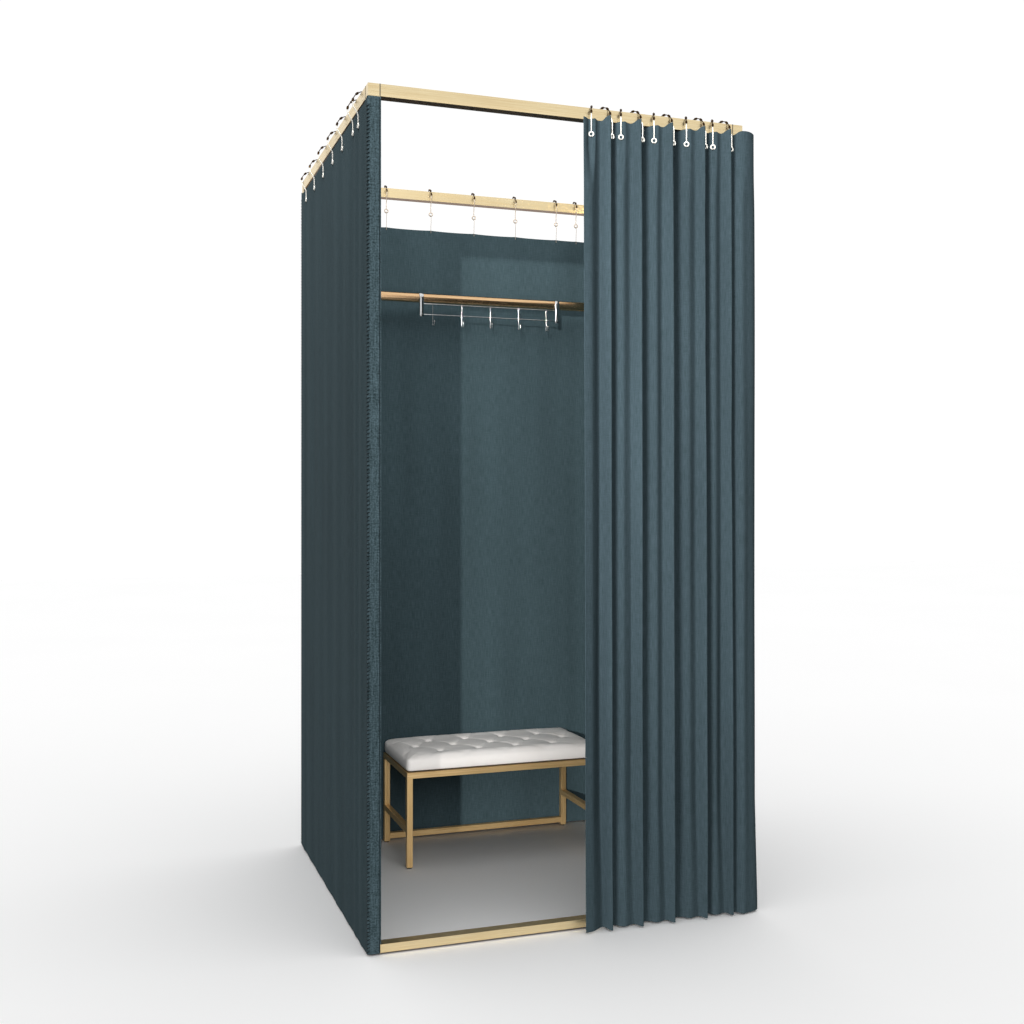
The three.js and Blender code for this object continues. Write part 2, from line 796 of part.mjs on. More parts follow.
// How far the cushion's top dips at a place, at the tufts and along the pleats that join them.
function tuftDip(x, y) {
  const u = x / tuftPitchX + y / tuftPitchY / 2;
  const v = x / tuftPitchX - y / tuftPitchY / 2;
  const offU = u - Math.round(u);
  const offV = v - Math.round(v);
  const dx = ((offU + offV) / 2) * tuftPitchX;
  const dy = (offU - offV) * tuftPitchY;
  const dimple = tuftDepth * Math.exp(-(dx * dx + dy * dy) / (tuftSpread * tuftSpread));
  const seam = Math.min(Math.abs(offU), Math.abs(offV)) * Math.hypot(tuftPitchX, tuftPitchY);
  return dimple + pleatDepth * Math.exp(-(seam * seam) / (pleatSpread * pleatSpread));
}

// One row of the cushion's outline, a rounded rectangle drawn in from the full size.
function cushionRing(drawIn, height) {
  const halfX = benchWidth / 2 - drawIn;
  const halfY = benchDepth / 2 - drawIn;
  const corner = Math.min(cushionCorner, halfX, halfY);
  const ring = [];
  const place = (i, j) => {
    const x = THREE.MathUtils.lerp(-halfX, halfX, i / cushionColumns);
    const y = THREE.MathUtils.lerp(-halfY, halfY, j / cushionRows);
    const overX = Math.max(Math.abs(x) - (halfX - corner), 0);
    const overY = Math.max(Math.abs(y) - (halfY - corner), 0);
    const excess = Math.max(1 - corner / Math.hypot(overX, overY), 0);
    const ringX = x - Math.sign(x) * overX * excess;
    ring.push(new THREE.Vector3(ringX, y - Math.sign(y) * overY * excess, height));
  };
  for (let i = 0; i < cushionColumns; i += 1) place(i, 0);
  for (let j = 0; j < cushionRows; j += 1) place(cushionColumns, j);
  for (let i = cushionColumns; i > 0; i -= 1) place(i, cushionRows);
  for (let j = cushionRows; j > 0; j -= 1) place(0, j);
  return ring;
}

function cushion() {
  const bottom = benchTopHeight + 2 * seatGap + boardThickness;
  const edgeTop = bottom + cushionThickness - cushionRise;
  const rings = [
    cushionRing(cushionDrawIn, bottom),
    cushionRing(0, bottom + cushionEdge),
    cushionRing(0, edgeTop - cushionEdge),
    cushionRing(cushionDrawIn, edgeTop - cushionDrawIn),
    cushionRing(cushionEdge, edgeTop),
  ];
  const positions = rings.flat().flatMap((point) => [point.x, point.y, point.z]);
  const triangles = [];
  const around = rings[0].length;
  for (let r = 0; r + 1 < rings.length; r += 1) {
    for (let i = 0; i < around; i += 1) {
      const a = r * around + i;
      const b = r * around + ((i + 1) % around);
      triangles.push(a, b, b + around, a, b + around, a + around);
    }
  }
  addCushionTop(positions, triangles, (rings.length - 1) * around, edgeTop);
  positions.push(0, 0, bottom);
  const middle = positions.length / 3 - 1;
  for (let i = 0; i < around; i += 1) triangles.push(middle, (i + 1) % around, i);
  return indexedGeometry(positions, triangles);
}

// The crowned and tufted top, whose edge is the last ring.
function addCushionTop(positions, triangles, ringStart, edgeTop) {
  const halfX = benchWidth / 2 - cushionEdge;
  const halfY = benchDepth / 2 - cushionEdge;
  const inner = new Map();
  for (let i = 1; i < cushionColumns; i += 1) {
    for (let j = 1; j < cushionRows; j += 1) {
      const x = THREE.MathUtils.lerp(-halfX, halfX, i / cushionColumns);
      const y = THREE.MathUtils.lerp(-halfY, halfY, j / cushionRows);
      const inset = Math.min(halfX - Math.abs(x), halfY - Math.abs(y));
      const fullness = THREE.MathUtils.smoothstep(inset, 0, tuftPitchY / 2);
      inner.set(`${i},${j}`, positions.length / 3);
      positions.push(x, y, edgeTop + fullness * (cushionRise - tuftDip(x, y)));
    }
  }
  const corner = (i, j) => {
    if (inner.has(`${i},${j}`)) return inner.get(`${i},${j}`);
    if (j === 0) return ringStart + i;
    if (i === cushionColumns) return ringStart + cushionColumns + j;
    if (j === cushionRows) return ringStart + 2 * cushionColumns + cushionRows - i;
    return ringStart + 2 * (cushionColumns + cushionRows) - j;
  };
  for (let i = 0; i < cushionColumns; i += 1) {
    for (let j = 0; j < cushionRows; j += 1) {
      const a = corner(i, j);
      const b = corner(i + 1, j);
      const c = corner(i + 1, j + 1);
      const d = corner(i, j + 1);
      if ((i + j) % 2 === 0) triangles.push(a, b, c, a, c, d);
      else triangles.push(a, b, d, b, c, d);
    }
  }
}

function bench() {
  const group = new THREE.Group();
  group.position.set(benchCentreX, benchCentreY, 0);
  const board = box(
    benchWidth - 2 * boardMargin, benchDepth - 2 * boardMargin, boardThickness,
    0, 0, benchTopHeight + seatGap + boardThickness / 2);
  group.add(named('bench_frame', benchFrame(), deepGold));
  group.add(named('bench_board', board, darkBoard));
  group.add(named('bench_cushion', cushion(), whiteUpholstery));
  const glideX = benchWidth / 2 - benchTube / 2;
  const glideY = benchDepth / 2 - benchTube / 2;
  for (const corner of corners) {
    const radius = benchGlideRadius;
    const glide = new THREE.CylinderGeometry(radius, radius, benchGlideHeight, footSides);
    const mesh = named(`bench_glide_${corner.name}`, glide.rotateX(Math.PI / 2), blackPlastic);
    mesh.position.set(corner.x * glideX, corner.y * glideY, benchGlideHeight / 2);
    group.add(mesh);
  }
  return group;
}

// The whole fitting room, moved so that the origin is under the middle of everything on the floor.
function fittingRoom() {
  const whole = new THREE.Group();
  const content = new THREE.Group();
  content.add(cornerPieces(), frameRails(), hangingRail(), rack(), bench());
  content.add(wallCurtains(), frontCurtain(), frontHookMeshes());
  whole.add(content);
  whole.updateMatrixWorld(true);
  const middle = new THREE.Box3().setFromObject(whole, true).getCenter(new THREE.Vector3());
  content.position.set(-middle.x, -middle.y, 0);
  return whole;
}

export default fittingRoom();
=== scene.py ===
"""Looks of a portable fitting room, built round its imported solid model.

Sizes in the code are millimetres from the middle of the frame, +Z up, with the doorway towards -Y. Each
piece is turned into metres in the model's own frame when its mesh is made. Lights and camera stand in metres.
"""
import itertools
import math

import bpy
import numpy as np
from bpy.props import FloatProperty, FloatVectorProperty, IntProperty, PointerProperty
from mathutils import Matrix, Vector


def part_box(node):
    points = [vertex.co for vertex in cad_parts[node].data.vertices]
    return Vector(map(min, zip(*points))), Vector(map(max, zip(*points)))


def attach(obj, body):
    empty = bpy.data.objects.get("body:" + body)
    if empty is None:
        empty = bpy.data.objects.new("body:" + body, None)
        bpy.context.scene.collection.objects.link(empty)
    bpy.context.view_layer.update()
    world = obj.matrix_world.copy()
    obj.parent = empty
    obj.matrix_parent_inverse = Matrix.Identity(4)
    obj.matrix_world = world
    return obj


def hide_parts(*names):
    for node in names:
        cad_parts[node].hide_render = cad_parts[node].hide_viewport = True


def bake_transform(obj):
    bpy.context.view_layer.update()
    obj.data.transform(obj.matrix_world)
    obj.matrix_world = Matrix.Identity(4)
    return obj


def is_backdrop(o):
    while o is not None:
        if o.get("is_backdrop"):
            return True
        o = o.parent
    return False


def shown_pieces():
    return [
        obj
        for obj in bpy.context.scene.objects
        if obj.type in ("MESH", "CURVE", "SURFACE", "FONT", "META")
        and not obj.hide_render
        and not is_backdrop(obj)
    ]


bl_info = {
    "name": "Portable Fitting Room",
    "version": (1, 0, 0),
    "blender": (4, 5, 0),
    "location": "View3D > Sidebar > Fitting Room",
    "description": "Curtains, roller hooks, rack, bench and finishes of a portable fitting room",
    "category": "Object",
}

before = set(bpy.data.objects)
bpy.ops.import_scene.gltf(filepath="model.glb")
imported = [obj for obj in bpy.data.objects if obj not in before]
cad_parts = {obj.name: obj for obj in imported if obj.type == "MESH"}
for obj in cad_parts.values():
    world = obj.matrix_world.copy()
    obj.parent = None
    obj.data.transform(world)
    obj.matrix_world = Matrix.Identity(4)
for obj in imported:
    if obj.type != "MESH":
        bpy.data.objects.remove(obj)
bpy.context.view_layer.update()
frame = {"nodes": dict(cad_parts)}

MM = 0.001
left_post, right_post, back_post = (
    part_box(name) for name in ("post_front_left", "post_front_right", "post_back_left"))
middle = np.array([
    (left_post[0].x + right_post[1].x) / 2, (left_post[0].y + back_post[1].y) / 2, 0.0])


def node_box(node):
    """The lowest and highest corner of a node of the model, in millimetres from the frame's middle."""
    low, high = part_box(node)
    return (np.array(low) - middle) / MM, (np.array(high) - middle) / MM


# Frame and hanging rail, read from the model
HALF_WIDTH = node_box("post_front_right")[1][0]
HALF_DEPTH = node_box("post_back_left")[1][1]
TUBE = node_box("post_front_left")[1][0] + HALF_WIDTH
TOP = node_box("rail_top_front")[1][2]
TOP_CENTRE = TOP - TUBE / 2
SIDE_CENTRE = HALF_WIDTH - TUBE / 2
DEPTH_CENTRE = HALF_DEPTH - TUBE / 2
RAIL_LOW, RAIL_HIGH = node_box("hanging_rail")
RAIL_MIDDLE = (RAIL_LOW + RAIL_HIGH) / 2
RAIL_RADIUS = (RAIL_HIGH[2] - RAIL_LOW[2]) / 2
RAIL_END_GAP = 0.6
# Black bands round the rail ends at the corners, which are painted shade for the joints' seams
SEAM_BAND_PROUD = 0.5
SEAM_BAND_HALF = 1.1
SEAM_BAND_EDGE = 0.3
PLASTIC_EDGE = 0.0006

# Roller hooks
WIRE = 1.2
BEAD = 3.1
BEAD_HALF_LENGTH = 5.0
ARC = 26.0
ARC_REACH = 94.0
BEAD_STEP = 38.0
RING = 5.6
RING_WIRE = 1.75
SHANK = 1.35
SHANK_START = ARC_REACH - 9
THREAD = 0.55
LINK_THREAD = 0.8
FRONT_RING_DROP = 56.0
SIDE_RING_DROP = 62.0
BACK_RING_DROP = 60.0
FRONT_REACH = 32.0
SIDE_REACH = 16.3
BACK_REACH = 18.2
FRONT_BEND_END = 24.0
SIDE_BEND_END = 40.0
BACK_BEND_END = 42.0
SEAT_GAP = 0.3
SIDE_SHARES = (-0.4, -0.334, -0.19, -0.052, 0.097, 0.247, 0.397)
SIDE_ARC = 30.0
SIDE_LEAN = 3.0
SIDE_RING_OUT = 2.4
BACK_SHARES = (-0.454, -0.383, -0.24, -0.095, 0.049, 0.191, 0.334, 0.405)

# Cloth
CLOTH = 2.0
HEM_LIFT = 5.0
WRAP_TOP = TOP - TUBE - 2
SIDE_TOP = TOP - 40
BACK_TOP = TOP - 128
BACK_CLOTH_Y = DEPTH_CENTRE - BACK_REACH
BACK_CLOTH_HALF = HALF_WIDTH - 33
SILL_CLEAR_HEIGHT = 29.0
FOLDED_CORNER = 3.0
SIDE_SWELL = 1.3
BACK_SWELL = 2.5
SAG = 2.5
STRETCHED_RIPPLE = 0.12
WALL_STOPS = (HEM_LIFT, 60, 1860, 2060)
WALL_ROWS = (7, 60, 20)
CALM_TOP = 160.0
FLANK_COLUMNS = 236
BACK_COLUMNS = 240
LEFT_SEED, RIGHT_SEED, BACK_SEED = 0.9, 2.7, 1.7

# A whip stitch over the corner: its place from the corner, out, to the front and up, and its thickness
STITCH = ((-0.4, -5.2, -1.6, 0.9), (0.7, -3.6, -1.0, 1.4), (0.1, -0.4, 0, 1.5), (-3.4, 0.7, 1.2, 1.4),
          (-5.6, -0.4, 2.0, 0.9))
STITCH_WOBBLE = 0.5
SEAM_IN = 1.6
SEAM_THREAD = 1.1

# Front curtain, gathered to the right
GATHERED = 405.0
FIRST_RING_X = HALF_WIDTH - 40 - GATHERED
FACING_SHARES = (0, 0.204, 0.436, 0.668, 0.86)
TURNED_SHARES = (0.145, 0.357, 0.579, 0.81, 1)
FACING_TWIST = -24.0
TURNED_TWIST = 28.0
CREST_Y = -HALF_DEPTH - 34
CREST_HEM_Y = -HALF_DEPTH - 46
BACK_FOLD_Y = -HALF_DEPTH + 21
DEEP_FOLD_Y = -HALF_DEPTH + 12
FACING_FOLD_Y = -HALF_DEPTH - 13
VALLEY_Y = -HALF_DEPTH - 3
FIRST_VALLEY_DEEPER = 11.0
LEADING_EDGE = 25.0
CREST_BEFORE_RING = 15.0
EARLY_FOLDS = 0.65
HELD_SHARE = 0.15
PINCH_HALF = 9.0
PINCH_BEHIND = 3.6
PINCH_FADE = 13.0
SETTLE_HEIGHT = 300.0
HEAD_HEIGHT = 1960.0
HEAD_RISE = 7.0
FREE_FALL = 150.0
RING_BOTTOM = TOP_CENTRE - FRONT_RING_DROP - PINCH_HALF
FRONT_STOPS = (HEM_LIFT, SILL_CLEAR_HEIGHT, SETTLE_HEIGHT, HEAD_HEIGHT, WRAP_TOP)
FRONT_ROWS = (4, 13, 55, 18)
FRONT_SEED = 0.4
CURVE_STEPS = 24
COLUMN_WIDTH = 2.6

# Bench and cushion, read from the model
BENCH_LOW, BENCH_HIGH = node_box("bench_frame")
BENCH_TUBE = 18.0
WELD_OVERLAP = 0.6
SIDE_STRETCHER = 112.0
BACK_STRETCHER = 20.0
BOARD_EDGE = 0.0008
CUSHION_LOW, CUSHION_HIGH = node_box("bench_cushion")
CUSHION_CENTRE = (CUSHION_HIGH + CUSHION_LOW) / 2
CUSHION_SKIRT = 2.5
CUSHION_SIDE = 36.0
CUSHION_CORNER = 16.0
CUSHION_EDGE_X = 312.0
CUSHION_EDGE_Y = 155.0
CUSHION_TOP_ABOVE = 22.0
CUSHION_COLUMNS = 104
CUSHION_ROWS = 52
CUSHION_TOP_INSET = 9.0
# How far each ring of the cushion's side is set in, and how high it stands over the bottom edge
CUSHION_LEVELS = ((2.5, 0), (1.2, 4), (0.8, 12), (0.8, 20), (0.8, 27), (2.0, 31.5), (5.0, 35))
COVER_REACH = 0.007
TUFT_PITCH_X = 122.0
TUFT_PITCH_Y = 75.0
TUFT_HELD = 4.5
TUFT_WIDTH = 13.0
TUFT_START = 8.5
BUTTON_WIDTH = 9.0
CROWN = 3.0
FILLING_STEPS = 20
PLEAT_DEPTH = 3.2
PLEAT_WIDTH = 6.0


def linear(hex_colour):
    """An sRGB colour such as #dcc48c as linear red, green, blue and alpha."""
    shares = [int(hex_colour[i:i + 2], 16) / 255 for i in (1, 3, 5)]
    return tuple(s / 12.92 if s <= 0.04045 else ((s + 0.055) / 1.055) ** 2.4 for s in shares) + (1.0,)


# Sizes and colours that a user changes


def colour_property(name, description, hex_colour):
    return FloatVectorProperty(
        name=name, description=description, default=linear(hex_colour), min=0, max=1,
        subtype="COLOR", size=4)


def length_property(name, description, default, low, high):
    return FloatProperty(
        name=name, description=description, default=default, min=low, max=high,
        subtype="DISTANCE", unit="LENGTH")


def power_property(name, description, default):
    return FloatProperty(
        name=name, description=description, default=default, min=0, max=1000,
        subtype="POWER", unit="POWER")


def angle_property(name, description, degrees):
    return FloatProperty(
        name=name, description=description, default=math.radians(degrees), subtype="ANGLE", unit="ROTATION")


class ClothSettings(bpy.types.PropertyGroup):
    """Colours and weave of the four curtains."""

    shade: colour_property("Cloth, deep yarn", "The darker yarn of the curtains", "#1f2c2d")
    light: colour_property("Cloth, pale yarn", "The paler yarn of the curtains", "#37444a")
    binding: colour_property("Edge binding", "The coarse tape that wraps the posts", "#5b6f77")
    stitching: colour_property("Whip stitching", "The thick thread along the corner edges", "#10191d")
    yarn_pitch: length_property(
        "Drawn yarn pitch", "Yarn spacing as drawn; the real one is about 1.2 mm", 0.0024, 0.001, 0.01)
    stitch_pitch: length_property(
        "Whip stitch pitch", "Distance between the whip stitches", 0.0095, 0.005, 0.03)
    ripple: length_property("Ripple", "How far the cloth ripples between its folds", 0.0016, 0, 0.006)


class HookSettings(bpy.types.PropertyGroup):
    """Colours of the roller hooks."""

    arc: colour_property("Arc and beads", "The bronzed arc and its roller beads", "#4a3620")
    shank: colour_property("Shank and ring", "The ivory shank and ring", "#f6f3ea")
    # A darker copy of the ivory shank colour: painted shade for the back curtain's hooks.
    painted_shade_ivory: colour_property("Shank and ring, painted shade", "The back curtain's shanks and rings, darker as painted shade", "#96897a")
    sides: IntProperty(name="Wire sides", description="Facets round a hook's wire", default=10, min=6, max=24)


class MetalSettings(bpy.types.PropertyGroup):
    """Colours of the frame, rail, rack and bench."""

    frame: colour_property("Frame gold", "The pale gold of the frame", "#ecdcb4")
    frame_shade: colour_property("Frame gold, deep streaks", "The deeper streaks of the frame", "#d3b988")
    rail: colour_property("Hanging rail", "The copper of the hanging rail", "#ecc79c")
    rack: colour_property("Hook rack", "The chrome of the rack", "#dfe0e0")
    bench: colour_property("Bench gold", "The deep gold of the bench", "#efcd96")
    bench_shade: colour_property("Bench gold, deep streaks", "The deeper streaks of the bench", "#c49c60")
    edge: length_property("Edge rounding", "How far the tubes' edges are rounded", 0.0012, 0, 0.004)


class CushionSettings(bpy.types.PropertyGroup):
    """The tufted seat."""

    cover: colour_property("Cover", "The white cover", "#e9e6e3")
    tuft_depth: length_property("Tuft depth", "How far each tuft is drawn in", 0.0105, 0, 0.02)
    pressure: FloatProperty(
        name="Filling pressure", description="Pressure of the filling on the cover",
        default=4.0, min=0, max=12)


class StageSettings(bpy.types.PropertyGroup):
    """Floor, light and camera."""

    backdrop: FloatProperty(
        name="Backdrop strength", description="Strength of the even white light", default=1.03, min=0, max=3)
    key: FloatProperty(
        name="Key strength", description="Strength of the light through the doorway",
        default=3.4, min=0, max=10)
    seat_key: FloatProperty(
        name="Key strength on the bench", description="Strength of the key light on the bench alone",
        default=0.8, min=0, max=10)
    overhead: power_property("Overhead strength", "Power of the soft light over the open top", 300.0)
    room_fill: power_property("Room fill", "Power of the soft light on the bench and the back curtain", 32.0)
    curtain_side: power_property(
        "Curtain side light", "Power of the soft lights from the left on the front curtain alone", 75.0)
    key_heading: angle_property("Key heading", "Heading of the key light, to the right of straight in", 27.3)
    key_fall: angle_property("Key fall", "How steeply the key light falls", 9.4)
    lens: FloatProperty(
        name="Lens", description="Focal length of the camera", default=42.07, min=10, max=200,
        subtype="DISTANCE_CAMERA", unit="CAMERA")


def settings(group):
    """The chosen values of cloth, hook, metal, cushion or stage."""
    return getattr(bpy.context.scene, f"fitting_room_{group}")


# Meshes


class Form:
    """The parts of one piece in millimetres: points and faces, each face's paint, which is the number of its
    material, and for each point its place on the cloth and its normal."""

    def __init__(self):
        self.points, self.faces, self.paints, self.places, self.normals = [], [], [], [], []
        self.count = 0

    def add(self, points, faces, paint=0, places=None, normals=None):
        points = np.asarray(points, float).reshape(-1, 3)
        blank = np.zeros_like(points)
        self.points.append(points)
        self.places.append(blank[:, :2] if places is None else np.reshape(places, (-1, 2)))
        self.normals.append(blank if normals is None else np.reshape(normals, (-1, 3)))
        self.faces.extend([self.count + i for i in face] for face in faces)
        self.paints.extend([paint] * len(faces))
        self.count += len(points)


def make_piece(form, name, materials, body=None, stands_for=()):
    """Turns a form into an object of that name, which rides on a body and stands for nodes of the model.

    Where the form has normals of its own, the object is shaded by them."""
    mesh = bpy.data.meshes.new(name)
    mesh.from_pydata((np.vstack(form.points) * MM + middle).tolist(), [], form.faces)
    for material in materials:
        mesh.materials.append(material)
    mesh.polygons.foreach_set("material_index", np.array(form.paints, np.int32))
    mesh.polygons.foreach_set("use_smooth", np.ones(len(form.faces), bool))
    corners = np.zeros(len(mesh.loops), np.int32)
    mesh.loops.foreach_get("vertex_index", corners)
    places = np.vstack(form.places) * MM
    layer = mesh.uv_layers.new(name="cloth")
    layer.data.foreach_set("uv", places[corners].astype(np.float32).ravel())
    mesh.update()
    normals = np.vstack(form.normals)
    if normals.any():
        mesh.normals_split_custom_set_from_vertices(normals.tolist())
    piece = bpy.data.objects.new(name, mesh)
    bpy.context.scene.collection.objects.link(piece)
    if body:
        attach(piece, body)
    if stands_for:
        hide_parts(*stands_for)
    return piece


def unit(vectors):
    lengths = np.linalg.norm(vectors, axis=-1, keepdims=True)
    return vectors / np.maximum(lengths, 1e-9)


def ease(share):
    """A smooth step from 0 to 1."""
    share = np.clip(share, 0, 1)
    return share * share * (3 - 2 * share)


def turned(degrees):
    """The turn about the upright by an angle, as a matrix."""
    c, s = math.cos(math.radians(degrees)), math.sin(math.radians(degrees))
    return np.array([[c, -s, 0], [s, c, 0], [0, 0, 1]])


def tube_faces(rings, sides, closed=False, capped=True):
    """Faces round rings of points. Closed joins the last ring to the first, and capped fills open ends."""
    faces = []
    for ring in range(rings if closed else rings - 1):
        here, ahead = ring * sides, (ring + 1) % rings * sides
        for k in range(sides):
            n = (k + 1) % sides
            faces.append((here + k, here + n, ahead + n, ahead + k))
    if capped and not closed:
        last = (rings - 1) * sides
        faces += [tuple(range(sides - 1, -1, -1)), tuple(range(last, last + sides))]
    return faces


def sweep(path, radius, sides, closed=False, rounded=True):
    """A round section carried along a path of points, with domed ends: points and faces."""
    path = np.asarray(path, float)
    radius = np.full(len(path), radius, float)
    if rounded and not closed:
        first, last = unit(path[1] - path[0]), unit(path[-1] - path[-2])
        domes = np.radians([80, 55, 28])
        start = [path[0] - first * radius[0] * math.sin(a) for a in domes]
        end = [path[-1] + last * radius[-1] * math.sin(a) for a in domes[::-1]]
        radius = np.concatenate([radius[0] * np.cos(domes), radius, radius[-1] * np.cos(domes[::-1])])
        path = np.vstack([start, path, end])
    if closed:
        heading = unit(np.roll(path, -1, 0) - np.roll(path, 1, 0))
    else:
        heading = unit(np.gradient(path, axis=0))
    side = np.zeros_like(path)
    seed = np.eye(3)[np.argmin(np.abs(heading).sum(0))]
    for i, ahead in enumerate(heading):
        seed = unit(seed - ahead * seed.dot(ahead))
        side[i] = seed
    angles = (np.arange(sides) * 2 * math.pi / sides)[:, None]
    spokes = side[:, None] * np.cos(angles) + np.cross(heading, side)[:, None] * np.sin(angles)
    return path[:, None] + spokes * radius[:, None, None], tube_faces(len(path), sides, closed)


def bead(centre, along, radius, half_length, sides):
    """A barrel-shaped roller bead threaded on a wire that runs along a direction."""
    steps = np.linspace(-0.94, 0.94, 7)
    path = np.asarray(centre) + np.outer(steps * half_length, along)
    return sweep(path, radius * (1 - 0.5 * np.abs(steps) ** 4), sides, rounded=False)


def add_bar(form, low, high, rounding, paint=0):
    """A straight square bar between two corners, whose narrow flats along the edges are shaded round."""
    points, normals = [], []
    for corner in itertools.product((0, 1), repeat=3):
        for axis in range(3):
            pull = np.where(corner, -rounding, rounding)
            pull[axis] = 0
            points.append(np.where(corner, high, low) + pull)
            normals.append(np.eye(3)[axis] * (2 * corner[axis] - 1))
    points, normals = np.array(points), np.array(normals)

    def point(axis, spot, facing):
        """The point that faces along one axis, at a corner given from another axis onwards."""
        return 3 * int(np.roll(spot, axis) @ (4, 2, 1)) + facing

    faces = [[3 * corner + axis for axis in range(3)] for corner in range(8)]
    for axis in range(3):
        b, c = (axis + 1) % 3, (axis + 2) % 3
        around = ((0, 0), (1, 0), (1, 1), (0, 1))
        for side in (0, 1):
            faces.append([point(axis, (side, *step), axis) for step in around])
        for step in around:
            faces.append([
                point(axis, (end, *step), facing) for end, facing in ((0, b), (0, c), (1, c), (1, b))])
    for face in faces:
        turn = np.cross(points[face[1]] - points[face[0]], points[face[2]] - points[face[0]])
        if turn.dot(normals[face].sum(0)) < 0:
            face.reverse()
    form.add(points, faces, paint, normals=normals)


def bezier(a, b, c, d, count):
    """Points along a curve from a to d that leaves towards b and arrives from c."""
    t = np.linspace(0, 1, count)[:, None]
    a, b, c, d = (np.asarray(p, float) for p in (a, b, c, d))
    return a * (1 - t) ** 3 + 3 * b * t * (1 - t) ** 2 + 3 * c * t * t * (1 - t) + d * t ** 3


def grid_faces(rows, columns, flip=False):
    starts = (r * columns + c for r in range(rows - 1) for c in range(columns - 1))
    faces = [(a, a + 1, a + columns + 1, a + columns) for a in starts]
    return [face[::-1] for face in faces] if flip else faces


def sheet_normals(grid):
    """The outward direction at each point of a grid of cloth: rows go up, columns go left to right."""
    across, up = np.gradient(grid, axis=1), np.gradient(grid, axis=0)
    return unit(np.cross(across, up))


def add_cloth(form, grid, normals, along, edges, paint=0):
    """Both faces and the chosen edges of a sheet of cloth whose middle layer is the grid."""
    rows, columns = grid.shape[:2]
    places = np.stack([np.broadcast_to(along, (rows, columns)), grid[..., 2]], -1)
    front, back = grid + normals * CLOTH / 2, grid - normals * CLOTH / 2
    form.add(front, grid_faces(rows, columns), paint, places, normals)
    form.add(back, grid_faces(rows, columns, flip=True), paint, places, -normals)
    strips = {
        "left": (np.s_[:, 0], np.s_[:, 1]), "right": (np.s_[:, -1], np.s_[:, -2]),
        "hem": (np.s_[0], np.s_[1]), "top": (np.s_[-1], np.s_[-2]),
    }
    for edge in edges:
        rim, inner = strips[edge]
        outward = unit(grid[rim] - grid[inner])
        count = len(outward)
        swell = grid[rim] + outward * CLOTH * 0.35
        line = np.stack([front[rim], swell, back[rim]])
        lean = np.stack([unit(normals[rim] + outward), outward, unit(outward - normals[rim])])
        faces = grid_faces(3, count, flip=edge in ("right", "hem"))
        form.add(line, faces, paint, np.broadcast_to(places[rim], (3, count, 2)), lean)


# Finishes


def add_node(tree, kind, settings=None, inputs=None, output=0):
    """Adds one node with its settings; an input is a value or another node's output. Gives one output."""
    node = tree.nodes.new("ShaderNode" + kind)
    for name, value in (settings or {}).items():
        setattr(node, name, value)
    for key, value in (inputs or {}).items():
        if isinstance(value, bpy.types.NodeSocket):
            tree.links.new(value, node.inputs[key])
        else:
            node.inputs[key].default_value = value
    return node.outputs[output]


def start_finish(name, values):
    """A new material with its constant values on the shader's own sockets."""
    material = bpy.data.materials.new(name)
    material.use_nodes = True
    shader = material.node_tree.nodes["Principled BSDF"]
    for socket, value in values.items():
        shader.inputs[socket].default_value = value
    return material, material.node_tree, shader


def grain(tree, scale, detail=2.0, place=None):
    """A soft irregular pattern on the piece, with so many cells per metre along each axis."""
    if place is None:
        place = add_node(tree, "TexCoord", output="Object")
    stretch = add_node(tree, "Mapping", inputs={"Vector": place, "Scale": scale})
    return add_node(tree, "TexNoise", inputs={"Vector": stretch, "Scale": 1.0, "Detail": detail})


def grained(name, values, scale, low, high, detail=2.0, spread=None, gloss=None, relief=None):
    """A new material whose colour goes from low to high along a grain.

    Spread is the range of the grain that counts and how far the colour then goes, gloss is the lowest and
    highest roughness, and relief is the strength and depth of the bump."""
    material, tree, shader = start_finish(name, values)
    pattern = share = grain(tree, scale, detail)
    if spread:
        share = add_node(tree, "MapRange", inputs={0: pattern, 1: spread[0], 2: spread[1], 4: spread[2]})
    tone = add_node(tree, "Mix", {"data_type": "RGBA"}, {0: share, 6: low, 7: high}, 2)
    tree.links.new(tone, shader.inputs["Base Color"])
    if gloss:
        rough = add_node(tree, "MapRange", inputs={0: pattern, 3: gloss[0], 4: gloss[1]})
        tree.links.new(rough, shader.inputs["Roughness"])
    if relief:
        strength, depth = relief
        bump = add_node(tree, "Bump", inputs={"Strength": strength, "Distance": depth, "Height": pattern})
        tree.links.new(bump, shader.inputs["Normal"])
    return material


